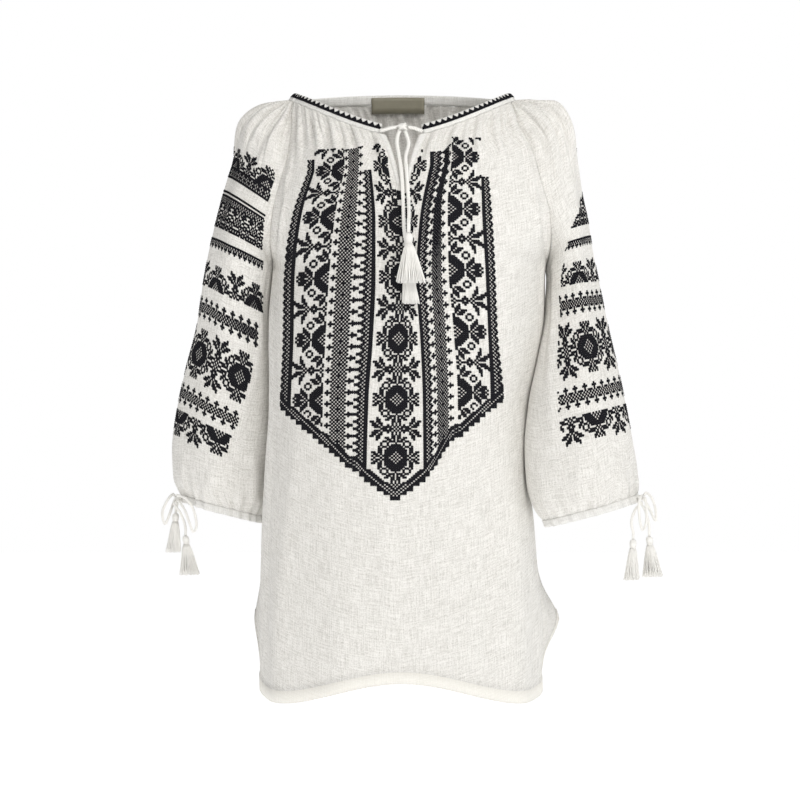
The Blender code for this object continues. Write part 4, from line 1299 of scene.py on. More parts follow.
@dataclass
class NeckBand:
    """Doubled band round the neck, with its black toothed edging."""

    height: float = 12.0
    wall: float = 2.4
    gap: float = 0.35
    tooth_pitch: float = 7.4
    base_rise: float = 5.0
    base_height: float = 2.0
    tooth_height: float = 4.6
    tooth_threads: int = 5

    def places(self) -> Iterable[tuple[ArmSurface | PanelSurface, float]]:
        """Surfaces and places round the neck, from the slit's right to its left."""
        front, back = PANELS[Face.FRONT], PANELS[Face.BACK]
        start = float(front.across_at(BAND_RIGHT_END, 0.0))
        end = float(front.across_at(BAND_LEFT_END, 0.0))
        for place in range(42):
            yield front, start + (1.0 - start) * place / 42
        for place in range(36):
            yield ARMS[Side.RIGHT], -1.0 + 2.0 * place / 36
        for place in range(90):
            yield back, 1.0 - 2.0 * place / 90
        for place in range(36):
            yield ARMS[Side.LEFT], 1.0 - 2.0 * place / 36
        for place in range(43):
            yield front, -1.0 + (end + 1.0) * place / 42

    def ring(self) -> tuple[np.ndarray, np.ndarray, np.ndarray, np.ndarray]:
        """Points, ups and outs round the neck, and the length to each."""
        frames = [neck_frame(surface, np.array(place)) for surface, place in self.places()]
        points, ups, outs = (np.stack(column) for column in zip(*frames))
        steps = np.linalg.norm(np.diff(points, axis=0), axis=1)
        return points, ups, outs, np.concatenate(([0.0], np.cumsum(steps)))

    def build(self) -> list[bpy.types.Object]:
        """Build the band and its edging.

        Returns:
            The band and the edging.
        """
        points, ups, outs, lengths = self.ring()
        half, middle, high = self.wall / 2.0, -WALL / 2.0, self.height
        outline = (
            (self.gap, middle + half * 0.8), (high * 0.16, middle + half * 1.1),
            (high * 0.42, middle + half * 1.2), (high * 0.7, middle + half * 1.1),
            (high * 0.9, middle + half * 0.85), (high, middle + half * 0.25),
            (high, middle - half * 0.25), (high * 0.9, middle - half * 0.85),
            (high * 0.6, middle - half * 1.15), (high * 0.3, middle - half * 1.2),
            (self.gap, middle - half * 0.8),
        )
        ripple = 0.22 * np.sin(lengths * 0.83) + 0.12 * np.sin(lengths * 0.31 + 1.0)
        sections = np.stack(
            [points + ups * rise + outs * (out + ripple * (rise < high * 0.5))[:, None] for rise, out in outline], 1)
        faces = grid_faces(len(points), len(outline), closed=True)
        faces.append(tuple(range(len(outline))))
        faces.append(tuple(reversed(range((len(points) - 1) * len(outline), len(points) * len(outline)))))
        rise = np.array([row[0] for row in outline])
        uv = np.stack(np.meshgrid(lengths, rise, indexing="ij"), -1).reshape(-1, 2) * MM
        band = mesh_piece(
            "neckband_cloth", sections.reshape(-1, 3), faces, TRIM.material("neckband_linen"),
            ("neckband",), uv=uv)
        return [band, self.edging(points, ups, outs, lengths)]

    def edging(self, points: np.ndarray, ups: np.ndarray, outs: np.ndarray, lengths: np.ndarray) -> bpy.types.Object:
        """Solid base line and satin-stitched teeth on the band's outer face.

        Args:
            points: Neck ring.
            ups: Upward directions.
            outs: Outward directions.
            lengths: Length to each point.

        Returns:
            The edging.
        """
        heap = Heap()
        face = -WALL / 2.0 + self.wall / 2.0 * 1.2

        def place(length: float, rise: float, out: float) -> np.ndarray:
            """Point on the band's face at a length round it."""
            along = [np.interp(length, lengths, points[:, axis]) for axis in range(3)]
            up = unit(np.array([np.interp(length, lengths, ups[:, axis]) for axis in range(3)]))
            outward = unit(np.array([np.interp(length, lengths, outs[:, axis]) for axis in range(3)]))
            slope = 0.45 * max(rise / self.height - 0.42, 0.0)
            return np.array(along) + up * rise + outward * (face - slope + out)

        count = int(lengths[-1] / self.tooth_pitch)
        pitch = lengths[-1] / count
        for number in range(count):
            start = number * pitch
            for step in range(self.tooth_threads + 1):
                part = (step + 0.5) / (self.tooth_threads + 1)
                here = start + pitch * part
                low = self.base_rise
                top = low + self.base_height + 0.25
                path = [place(here - 0.25, low, 0.05), place(here, (low + top) / 2, 0.3), place(here + 0.25, top, 0.1)]
                heap.add(*tube(np.array(path), pitch / 10.5, 5))
                reach = self.tooth_height * (1.0 - abs(2.0 * part - 1.0)) ** 0.9
                if reach < 0.4:
                    continue
                lean = (0.5 - part) * pitch * 0.35
                path = [place(here, top - 0.4, 0.1), place(here + lean * 0.5, top + reach * 0.5, 0.32),
                        place(here + lean, top + reach, 0.08)]
                heap.add(*tube(np.array(path), np.array((0.80, 0.74, 0.36)), 5))
        return heap.piece("neckband_edging", BLACK_THREAD.material("edging_thread"), slot="trim")


@dataclass
class Cuff:
    """Narrow doubled cuff, scalloped by the gathers."""

    side: Side
    height: float = 9.0
    gap: float = 0.35
    cells: int = 192

    def build(self) -> bpy.types.Object:
        """Build the cuff.

        Returns:
            The cuff.
        """
        arm, word = ARMS[self.side], self.side.name.lower()
        turn = np.linspace(-1.0, 1.0, self.cells, endpoint=False)
        outward, down = cuff_outward(arm, turn), arm.down(13.0)
        sleeve = Sleeve(self.side)
        lift = sleeve.lift(turn, np.full(turn.shape, 13.0))
        point = arm.point(turn, np.full(turn.shape, 13.0)) + outward * lift[:, None]
        flare = np.clip(lift / 1.9, -1.0, 1.0)
        outline = (
            (self.gap, 0.6), (1.6, 1.15), (4.5, 0.8), (7.2, 1.15), (self.height, 0.45),
            (self.height, -0.45), (7.2, -0.9), (4.5, -1.0), (1.6, -0.9), (self.gap, -0.6),
        )
        sections = np.stack(
            [point + down * drop + outward * (out - WALL / 2 + flare * drop * 0.06)[:, None] for drop, out in outline], 1)
        faces = grid_faces(len(turn), len(outline), closed=True)
        base = (len(turn) - 1) * len(outline)
        for corner in range(len(outline)):
            after = (corner + 1) % len(outline)
            faces.append((base + corner, corner, after, base + after))
        steps = np.linalg.norm(np.diff(point, axis=0), axis=1)
        lengths = np.concatenate(([0.0], np.cumsum(steps)))
        drops = np.array([row[0] for row in outline])
        uv = np.stack(np.meshgrid(lengths, drops, indexing="ij"), -1).reshape(-1, 2) * MM
        name = "cuff_" + word
        return mesh_piece(
            name + "_cloth", sections.reshape(-1, 3), faces, TRIM.material(name + "_linen"),
            (name,), uv=uv)


@dataclass
class SlitBinding:
    """White strip along one edge of the front slit."""

    side: Side
    width: float = 9.0
    wall: float = 1.0
    gap: float = 0.35
    rows: int = 30

    def build(self) -> bpy.types.Object:
        """Build the strip.

        Returns:
            The strip.
        """
        panel = PANELS[Face.FRONT]
        row = np.linspace(0.0, 2.72, self.rows)
        slit = SLIT_HALF_GAP * (1.0 - row / SLIT_ROW)
        width = self.width * (1.0 - 0.62 * row / SLIT_ROW)
        outline = ((0.06, 0.1), (0.12, 0.95), (0.35, 1.1), (0.65, 1.1), (0.9, 0.95), (1.0, 0.1))
        outer, inner = [], []
        for part, rise in outline:
            x = SLIT_MIDDLE_X + self.side.value * (slit + 0.5 + width * part)
            across = panel.across_at(x, row)
            point, normal = panel.point(across, row), panel.normal(across, row)
            inner.append(point + normal * self.gap)
            outer.append(point + normal * (self.gap + self.wall * rise))
        sections = np.stack(inner[:1] + outer + inner[-1:], 1)
        corners = sections.shape[1]
        faces = grid_faces(self.rows, corners, closed=True)
        faces.append(tuple(range(corners)))
        faces.append(tuple(reversed(range((self.rows - 1) * corners, self.rows * corners))))
        name = "slit_binding_" + self.side.name.lower()
        uv = np.stack(np.meshgrid(row * 22.0, np.linspace(0.0, 10.0, corners), indexing="ij"), -1)
        return mesh_piece(
            name + "_cloth", sections.reshape(-1, 3), faces, TRIM.material(name + "_linen"),
            (name,), uv=uv.reshape(-1, 2) * MM)


@dataclass
class NeckLabel:
    """Blank woven label inside the back neck, sewn at both ends."""

    width: float = 64.0
    wall: float = 0.8
    middle_x: float = -7.0
    profile: tuple[tuple[float, float], ...] = ((9.5, -2.5), (5.4, -2.55), (-2.0, -3.2), (-9.5, -4.0))

    def build(self) -> bpy.types.Object:
        """Build the label.

        Returns:
            The label.
        """
        panel = PANELS[Face.BACK]
        x = self.middle_x + self.width * np.linspace(-0.5, 0.5, 17)
        point, up, outward = neck_frame(panel, panel.across_at(x, np.zeros(x.shape)))
        rows = [point + up * rise + outward * out for rise, out in self.profile]
        rows += [point + up * rise + outward * (out - self.wall) for rise, out in reversed(self.profile)]
        sections = np.stack(rows, 1)
        corners = sections.shape[1]
        faces = grid_faces(len(x), corners, closed=True)
        faces.append(tuple(range(corners)))
        faces.append(tuple(reversed(range((len(x) - 1) * corners, len(x) * corners))))
        rise = np.array([row[0] for row in self.profile + self.profile[::-1]])
        uv = np.stack(np.meshgrid(x, rise, indexing="ij"), -1).reshape(-1, 2) * MM
        return mesh_piece(
            "label_cloth", sections.reshape(-1, 3), faces, LabelFinish().material("label_weave"),
            ("label",), uv=uv)


# Embroidery

def stitches(heap: Heap, corners: np.ndarray, normals: np.ndarray, filled: np.ndarray) -> int:
    """Raised cross stitches on a lattice that lies on the cloth.

    Args:
        heap: Heap that takes them.
        corners: Lattice of corner points, one more each way than the cells.
        normals: Outward directions at the corners.
        filled: True for each cell that holds a stitch.

    Returns:
        How many stitches were made.
    """
    cells = np.argwhere(filled)
    if not len(cells):
        return 0
    row, column = cells[:, 0], cells[:, 1]
    here, across = corners[row, column], corners[row, column + 1]
    below, far = corners[row + 1, column], corners[row + 1, column + 1]
    normal = unit(normals[row, column] + normals[row + 1, column + 1])
    points, faces = [], []
    for start, end, rise in ((here, far, 0.30), (across, below, 0.46)):
        way = end - start
        length = np.linalg.norm(way, axis=-1, keepdims=True)
        side = unit(np.cross(way, normal)) * length * 0.26
        for part, high in ((0.02, 0.12), (0.5, 1.0), (0.98, 0.12)):
            middle = start + way * part
            points += [middle - side + normal * rise * high * 0.25,
                       middle + normal * (rise * high + 0.12),
                       middle + side + normal * rise * high * 0.25]
    stacked = np.stack(points, 1)
    for base in (0, 9):
        for step in (0, 3):
            for edge in (0, 1):
                a = base + step + edge
                faces.append((a, a + 1, a + 4, a + 3))
    count = len(cells)
    starts = heap.count + np.arange(count)[:, None, None] * stacked.shape[1]
    heap.faces.extend(map(tuple, (starts + np.array(faces)[None]).reshape(-1, 4).tolist()))
    heap.points.append(stacked.reshape(-1, 3))
    heap.count += count * stacked.shape[1]
    return count


def lattice_normals(corners: np.ndarray, outward: np.ndarray) -> np.ndarray:
    """Normals of a lattice of points, looking the given way."""
    normal = unit(np.cross(np.gradient(corners, axis=0), np.gradient(corners, axis=1)))
    sign = np.where((normal * outward).sum(-1, keepdims=True) < 0.0, -1.0, 1.0)
    return normal * sign


@dataclass
class ChestEmbroidery:
    """Black cross-stitch panel on the chest, pointed at its foot."""

    cloth: bpy.types.Object
    first_row: int = -26
    last_row: int = 176
    half_width: int = 60
    period: int = 32
    tip_row: float = -17.5
    slope: float = 0.875
    border: float = 6.0

    def filled(self, column: int, row: int) -> bool:
        """Say if the chart has a stitch.

        Args:
            column: Stitches from the middle, left of it below 0.
            row: Stitches above the lowest rosette's middle.

        Returns:
            True where a stitch lies.
        """
        away = abs(column)
        top = next(tall for low, high, tall in CHEST_TOPS if low <= column <= high)
        depth = self.tip_row + self.slope * away - row
        if row > top:
            return False
        if depth >= 0.0:
            foot = self.tip_row - self.border + self.slope * 3 * (away // 3)
            if row < foot:
                return False
            return depth < 1.3 or not (1.8 < depth < 4.4 and (away + row) % 2 == 0)
        if depth > -1.5 and (away <= 13 or 36 <= away <= 53):
            return False
        repeat = abs((row + self.period // 2) % self.period - self.period // 2)
        if away <= 12:
            return ROSETTE[repeat][away] == "#"
        if 14 <= away <= 20:
            return TOOTHED_BORDER[row % 4][away - 14] == "#"
        if 21 <= away <= 35:
            return CROSS_LATTICE[row % 6][away - 21] == "#"
        if 37 <= away <= 53:
            return HALF_ROSETTE[repeat][away - 37] == "#"
        return away >= 54 and TOOTHED_BORDER[row % 4][away - 54] == "#"

    def lattice(self) -> tuple[np.ndarray, np.ndarray]:
        """Front-view places of the lattice's corners.

        Returns:
            Distances x and heights z.
        """
        columns = np.arange(-self.half_width, self.half_width + 2) - 0.5
        rows = np.arange(self.last_row + 1, self.first_row - 1, -1) - 0.5
        data = np.array(CHEST_LINES, float)
        lines = np.stack([np.interp(columns, data[:, 0], data[:, 1 + k]) for k in range(len(LINE_ROWS))], 0)
        order = np.argsort(LINE_ROWS)
        names = ("row",) + tuple("c%d" % k for k in range(len(columns)))
        table = Table(names, [[LINE_ROWS[k], *lines[k]] for k in order])
        x = np.stack([table.at(name, rows) for name in names[1:]], 1)
        heights = Table(CHEST_HEIGHT_COLUMNS, CHEST_HEIGHTS)
        left, middle, right = (heights.at(word, rows)[:, None] for word in ("left", "middle", "right"))
        to_left = smoothstep(14.0, 37.0, -columns)[None]
        to_right = smoothstep(14.0, 37.0, columns)[None]
        return x, middle + (left - middle) * to_left + (right - middle) * to_right

    def build(self) -> bpy.types.Object:
        """Build the panel's stitches on the cloth.

        Returns:
            The stitches.
        """
        x, z = self.lattice()
        mesh = self.cloth.data
        tree = BVHTree.FromPolygons([vertex.co for vertex in mesh.vertices], [tuple(p.vertices) for p in mesh.polygons])
        corners = np.full((*x.shape, 3), np.nan)
        normals = np.zeros((*x.shape, 3))
        for place in np.ndindex(x.shape):
            start = Vector((x[place] * MM, -0.4, z[place] * MM))
            hit, normal, _, _ = tree.ray_cast(start, Vector((0.0, 1.0, 0.0)), 0.42)
            if hit is not None:
                corners[place] = np.array(hit) / MM
                normals[place] = np.array(normal) * (-1.0 if normal.y > 0.0 else 1.0)
        rows = range(self.last_row, self.first_row - 1, -1)
        columns = range(-self.half_width, self.half_width + 1)
        filled = np.array([[self.filled(column, row) for column in columns] for row in rows])
        yoke = Table(YOKE_COLUMNS, FRONT_YOKE)
        heights = yoke.columns["middle_z"]
        row_at = np.interp(-z, -heights, yoke.keys)
        share = np.clip(1.0 - row_at / SLIT_ROW, 0.0, 1.0)
        blocked = np.abs(x - SLIT_MIDDLE_X) < np.where(share > 0.0, SLIT_HALF_GAP * share + 10.0 - 6.0 * (1.0 - share), 0.0)
        bad = blocked | np.isnan(corners[..., 0])
        depth = np.abs(np.diff(np.nan_to_num(corners[..., 1]), axis=1, append=0.0)) > 9.0
        bad |= depth & (np.arange(x.shape[1]) < x.shape[1] - 1)[None]
        filled &= ~(bad[:-1, :-1] | bad[1:, :-1] | bad[:-1, 1:] | bad[1:, 1:])
        heap = Heap()
        corners = np.nan_to_num(corners) + normals * 0.22
        count = stitches(heap, corners, normals, filled)
        LOG.info("chest stitches: %d", count)
        return heap.piece("chest_embroidery", BLACK_THREAD.material("chest_thread"))


@dataclass
class SleeveEmbroidery:
    """Bands of black cross stitch round a sleeve's outer side."""

    side: Side

    def chart(self, motif: Motif, line: int, around: int) -> bool:
        """Say if a band has a stitch.

        Args:
            motif: The band's motif.
            line: Stitch lines below the band's top.
            around: Stitches from the motif's middle.

        Returns:
            True where a stitch lies.
        """
        repeat = abs((around + 16) % 32 - 16)
        if motif is Motif.ROSETTES:
            return ROSETTE[repeat][abs(line - 12)] == "#"
        if motif is Motif.FLOWERS_UP:
            return ROSETTE[repeat][12 - line] == "#"
        if motif is Motif.FLOWERS_DOWN:
            return ROSETTE[repeat][line] == "#"
        if motif is Motif.LATTICE:
            return SLEEVE_LATTICE[around % 6][line] == "#"
        if motif is Motif.BASE:
            return SLEEVE_BASE[around % 4][line] == "#"
        if motif is Motif.TEETH:
            return SLEEVE_TEETH[around % 4][line] == "#"
        return OPENWORK[abs((around + 7) % 14 - 7)][line] == "#"

    def rows_at(self, heights: np.ndarray) -> np.ndarray:
        """Rows of the sleeve at heights of its outer line."""
        rows = np.linspace(0.0, 13.0, 400)
        outer = ARMS[self.side].point(np.zeros(400), rows)[:, 2]
        return np.interp(-heights, -outer, rows)

    def build(self) -> bpy.types.Object:
        """Build every band.

        Returns:
            The stitches.
        """
        arm, sleeve, heap = ARMS[self.side], Sleeve(self.side), Heap()
        total = 0
        upper, lower = BAND_TILT[self.side]
        for values in LEFT_BANDS if self.side is Side.LEFT else RIGHT_BANDS:
            band = dict(zip(BAND_COLUMNS, values))
            lines = band["stitches"]
            row = self.rows_at(np.linspace(band["top_z"], band["foot_z"], lines + 1))[:, None]
            first = int(min(band["first_at_top"], band["first_at_foot"]))
            around = np.arange(first, first + BAND_SPAN + 1, dtype=float)[None]
            span = np.radians(arm.table.at("span", np.minimum(row, UNDERARM_ROW)))
            turn = around * AROUND_PITCH / arm.girth(row) / span
            inside = np.abs(turn) < 0.93
            turn = np.clip(turn, -0.99, 0.99)
            tilt = upper + (lower - upper) * smoothstep(UNDERARM_ROW, 9.5, row)
            row = row + tilt * (1.0 - np.cos(turn * span)) / 2.0
            corners = sleeve.point(turn, row)
            normals = lattice_normals(corners, arm.normal(turn, row))
            starts = np.linspace(band["first_at_top"], band["first_at_foot"], lines)
            filled = np.array([
                [first + step >= starts[line] and self.chart(band["motif"], line, first + step - band["centre"])
                 for step in range(BAND_SPAN)] for line in range(lines)])
            filled &= inside[:-1, :-1] & inside[1:, 1:] & inside[1:, :-1] & inside[:-1, 1:]
            total += stitches(heap, corners + normals * 0.12, normals, filled)
        word = self.side.name.lower()
        LOG.info("sleeve %s stitches: %d", word, total)
        return heap.piece("sleeve_%s_embroidery" % word, BLACK_THREAD.material("sleeve_%s_thread" % word))


# Cords, knots and tassels. Routes run across, toward the viewer and down from the knot

KNOT_GAP = 0.45
TIE_GAP = 0.35
NECK_KNOT = (-2.0, -90.0, -42.0)
NECK_LEFT = ((-24.6, -1.3, 4.4), (-18.0, 0.4, 3.0), (-1.0, 0.05, 0.1))
NECK_RIGHT = ((22.2, -1.6, 4.6), (17.0, 0.2, 3.2), (1.0, 0.05, 0.1))
NECK_REAR_END = (
    (-0.5, 0.2, 0.85), (-5.8, 7.0, 20), (-3.4, 13.5, 35), (-1.2, 19.5, 50),
    (0.8, 27.5, 83), (1.8, 32.5, 115), (4.0, 35.0, 132),
)
NECK_FRONT_END = (
    (0.5, 0.2, 0.85), (7.2, 7.0, 20), (3.8, 13.8, 35), (4.6, 20.5, 50),
    (6.8, 30.0, 83), (7.4, 43.0, 101), (6.8, 49.0, 112),
)
LEFT_LOOP_ONE = (
    (-0.79, -0.29, -0.5), (-13, 1.0, 2), (-18.5, 4.5, 16), (-15.5, 6.0, 29),
    (-10.8, 3.5, 20), (-0.67, -0.62, 0.35),
)
LEFT_LOOP_TWO = (
    (0.24, 0.87, 0.4), (9.0, 12.5, 14), (14.0, 15.5, 27), (18.5, 16.0, 37.5),
    (22.5, 16.5, 30), (19.0, 17.0, 12), (10.0, 15.5, -1), (-0.05, 0.84, -0.5),
)
LEFT_END_ONE = ((-0.29, -0.14, 0.95), (-3.2, -0.6, 9))
LEFT_END_TWO = ((-0.57, 0.54, 0.6), (2.6, 8.0, 16), (7.6, 7.0, 28), (8.8, 6.5, 35))
RIGHT_LOOP_ONE = (
    (-0.06, 0.96, -0.1), (-2.6, 12.0, 9), (-1.6, 13.0, 25), (1.6, 13.0, 36),
    (5.6, 13.0, 27), (6.0, 11.0, 12), (0.58, 0.76, 0.1),
)
RIGHT_LOOP_TWO = (
    (0.84, -0.16, -0.5), (13.5, -1.0, 1), (17.5, 1.0, 14), (17.0, 2.5, 26),
    (12.6, 0.5, 17), (0.7, -0.55, 0.4),
)
RIGHT_END_ONE = ((-0.1, 0.56, 0.8), (-6.6, 7.5, 14), (-10.6, 7.5, 27), (-8.5, 7.0, 39))
RIGHT_END_TWO = ((0.29, -0.03, 0.95), (5.6, -0.8, 14), (9.4, -0.8, 27), (10.4, -0.8, 36))

Route = Sequence[Sequence[float]]


def smooth_path(points: Sequence[np.ndarray], spacing: float) -> np.ndarray:
    """Even points on a smooth curve through the given points.

    Args:
        points: Points to pass through.
        spacing: Distance between the even points.

    Returns:
        The even points.
    """
    points = [np.array(point, dtype=float) for point in points]
    ends = [2.0 * points[0] - points[1]] + points + [2.0 * points[-1] - points[-2]]
    dense = []
    for place in range(len(points) - 1):
        before, start, end, after = ends[place:place + 4]
        for step in range(24):
            t = step / 24.0
            value = 2.0 * start + (end - before) * t
            value = value + (2.0 * before - 5.0 * start + 4.0 * end - after) * t ** 2
            value = value + (3.0 * start - before - 3.0 * end + after) * t ** 3
            dense.append(value / 2.0)
    dense.append(points[-1])
    line = np.array(dense)
    lengths = np.concatenate(([0.0], np.cumsum(np.linalg.norm(np.diff(line, axis=0), axis=1))))
    count = max(4, int(round(lengths[-1] / spacing)) + 1)
    wanted = np.linspace(0.0, lengths[-1], count)
    return np.stack([np.interp(wanted, lengths, line[:, axis]) for axis in range(3)], 1)


def twist(path: np.ndarray, diameter: float, heap: Heap, closed: bool = False, plies: int = 3) -> None:
    """Lay twisted plies along a path.

    Args:
        heap: Heap that takes them.
        path: Even points of the centreline.
        diameter: Diameter over the plies.
        closed: True for a ring.
        plies: Number of plies.
    """
    ways = np.roll(path, -1, axis=0) - np.roll(path, 1, axis=0) if closed else np.gradient(path, axis=0)
    ways = unit(ways)
    side = unit(np.cross(ways, np.array((0.31, 0.87, 0.38))))
    other = np.cross(ways, side)
    step = float(np.linalg.norm(path[1] - path[0]))
    angle = 2.0 * math.pi * np.arange(len(path)) * step / (diameter * 2.1)
    if closed:
        total = len(path) * step
        turns = max(1, round(total / (diameter * 2.1)))
        angle = 2.0 * math.pi * turns * np.arange(len(path)) / len(path)
    for ply in range(plies):
        turn = (angle + 2.0 * math.pi * ply / plies)[:, None]
        line = path + (side * np.cos(turn) + other * np.sin(turn)) * diameter * 0.235
        heap.add(*tube(line, diameter * 0.262, 6, closed))


@dataclass
class Knot:
    """Knot of wrapped cord."""

    name: str
    middle: np.ndarray
    radii: tuple[float, float, float]
    diameter: float

    def exit(self, direction: Sequence[float], reach: float) -> tuple[np.ndarray, np.ndarray]:
        """Point off the surface where a cord leaves, and a point further out.

        Args:
            direction: Across, toward the viewer and down.
            reach: Distance between the two points.

        Returns:
            Both points, from the knot's middle.
        """
        radii = np.array(self.radii)
        ray = unit(np.array((direction[0], -direction[1], -direction[2])))
        surface = ray / float(np.linalg.norm(ray / radii))
        normal = unit(surface / radii ** 2)
        start = surface + normal * KNOT_GAP
        return start, start + normal * reach

    def build(self) -> bpy.types.Object:
        """Build the knot from three wrapped rings round a core.

        Returns:
            The knot.
        """
        heap, radii = Heap(), np.array(self.radii)
        thin = self.diameter * 0.62
        turn = np.linspace(0.0, 2.0 * math.pi, 40, endpoint=False)
        for lean, shift in ((0.9, 0.0), (-0.75, 0.12), (0.05, -0.1)):
            ring = np.stack((np.cos(turn) * math.cos(lean), np.sin(turn), np.cos(turn) * math.sin(lean)), 1)
            ring = ring * (radii - thin * 0.42) + np.array((shift, 0.0, -shift)) * radii
            twist(ring + self.middle, thin, heap, closed=True)
        body = bmesh.new()
        bmesh.ops.create_uvsphere(body, u_segments=16, v_segments=10, radius=1.0)
        points = np.array([vertex.co[:] for vertex in body.verts]) * (radii * 0.72) + self.middle
        faces = [tuple(vertex.index for vertex in face.verts) for face in body.faces]
        body.free()
        heap.add(points, faces)
        return heap.piece(self.name + "_wraps", WHITE_CORD.material(self.name + "_yarn"), (self.name,), "cord")


@dataclass
class Tassel:
    """Wound head with a skirt of yarn."""

    name: str
    top: np.ndarray
    size: tuple[float, float, float, float, float]
    lean: tuple[float, float]
    yarns: int = 120

    def build(self) -> bpy.types.Object:
        """Build the head, its winding and its yarns.

        Returns:
            The tassel.
        """
        radius, head, skirt, spread, squash = self.size
        heap = Heap()
        rings = np.linspace(0.0, 1.0, 13)
        profile = np.interp(rings, (0.0, 0.12, 0.42, 0.72, 0.86, 1.0), (0.42, 0.80, 1.0, 0.86, 0.62, 0.80))
        sides = 24
        turn = 2.0 * math.pi * np.arange(sides) / sides
        ribs = 1.0 + 0.05 * np.cos(turn * 12.0)
        ring = np.stack((np.cos(turn) * ribs, np.sin(turn) * ribs, turn * 0.0), 1)
        drop = np.array((0.0, 0.0, -1.0)) * (rings * head)[:, None]
        points = (ring[None] * (profile * radius)[:, None, None] + drop[:, None]).reshape(-1, 3)
        faces = grid_faces(len(rings), sides, closed=True)
        faces.append(tuple(reversed(range(sides))))
        faces.append(tuple((len(rings) - 1) * sides + k for k in range(sides)))
        heap.add(self.slide(points), faces)
        for level in (0.76, 0.82, 0.88):
            wide = float(np.interp(level, rings, profile)) * radius + 0.25
            path = np.stack((np.cos(turn) * wide, np.sin(turn) * wide, turn * 0.0 - head * level), 1)
            heap.add(*tube(self.slide(path), 0.42, 5, closed=True))
        golden = math.pi * (3.0 - math.sqrt(5.0))
        parts = np.linspace(0.0, 1.0, 8)
        for number in range(self.yarns):
            share = math.sqrt((number + 0.5) / self.yarns)
            angle = number * golden
            way = np.array((math.cos(angle), math.sin(angle), 0.0))
            long = skirt * (1.0 - 0.07 * ((number * 7) % 11) / 10.0)
            root = way * radius * 0.74 * share + np.array((0.0, 0.0, -head * 0.97))
            wide = spread * share * parts ** 0.8
            curl = 0.5 * np.sin(parts * 5.0 + number) * parts
            path = root + way * np.array((1.0, squash, 0.0)) * wide[:, None]
            path = path + np.stack((curl * 0.8, curl * 0.5, -long * parts), 1)
            thick = 0.74 * np.interp(parts, (0.0, 0.15, 0.9, 1.0), (0.8, 1.0, 1.0, 0.8))
            heap.add(*tube(self.slide(path), thick, 4))
        return heap.piece(self.name + "_yarns", WHITE_CORD.material(self.name + "_yarn"), (self.name,), "cord")

    def slide(self, points: np.ndarray) -> np.ndarray:
        """Lean the points and put them below the cord's end."""
        lean = np.array((*self.lean, 0.0))
        return points + lean * points[:, 2:3] + np.asarray(self.top)


@dataclass
class Cord:
    """Twisted cord that leaves a knot."""

    name: str
    knot: Knot
    route: Route
    diameter: float
    hanging: bool = False

    def points(self) -> list[np.ndarray]:
        """Points of the route in the blouse's frame."""
        points = []
        for place, row in enumerate(self.route):
            if float(np.linalg.norm(row)) < 1.1:
                start, further = self.knot.exit(row, self.diameter * 1.3)
                points.extend([start, further] if place == 0 else [further, start])
            else:
                points.append(np.array((row[0], -row[1], -row[2]), float))
        if self.hanging:
            drop = np.array((0.0, 0.0, -self.diameter))
            points.extend([points[-1] + drop, points[-1] + drop * 2.2])
        return [point + np.asarray(self.knot.middle) for point in points]

    def build(self) -> tuple[bpy.types.Object, np.ndarray, np.ndarray]:
        """Build the cord.

        Returns:
            The cord, its centreline and its last point.
        """
        points = self.points()
        path = smooth_path(points, self.diameter * 0.2)
        heap = Heap()
        twist(path, self.diameter, heap)
        thing = heap.piece(self.name + "_twist", WHITE_CORD.material(self.name + "_yarn"), (self.name,), "cord")
        return thing, path, points[-1]

    def declare(self, thing: bpy.types.Object, path: np.ndarray) -> None:
        """Args:
            thing: The cord; not used.
            path: Its centreline.
        """
        length = float(np.linalg.norm(np.diff(path, axis=0), axis=1).sum()) * MM
        LOG.info("%s is %.0f mm long", self.name, length / MM)
        if length < max(0.03, 6.0 * self.diameter * MM):
            return


@dataclass
class NeckTie:
    """Knotted drawstring with two hanging ends."""

    diameter: float = 4.6
    radii: tuple[float, float, float] = (6.6, 4.8, 5.4)

    def build(self) -> list[bpy.types.Object]:
        """Build the knot, cords and tassels.

        Returns:
            Every piece of the tie.
        """
        knot = Knot("neck_knot", np.array(NECK_KNOT), self.radii, self.diameter)
        made = [knot.build()]
        for word, route in (("left", NECK_LEFT), ("right", NECK_RIGHT)):
            made.append(Cord("neck_cord_" + word, knot, route, self.diameter).build()[0])
        ends = (
            ("rear", NECK_REAR_END, (4.4, 12.0, 46.0, 6.0, 0.2), (-0.1, 0.0)),
            ("front", NECK_FRONT_END, (4.6, 12.0, 44.0, 13.0, 0.22), (-0.05, 0.0)),
        )
        for word, route, size, lean in ends:
            cord = Cord("neck_end_" + word, knot, route, self.diameter, True)
            thing, path, last = cord.build()
            top = last - np.array((0.0, 0.0, TIE_GAP))
            tassel = Tassel("neck_tassel_" + word, top, size, lean).build()
            cord.declare(thing, path)
            made += [thing, tassel]
        return made


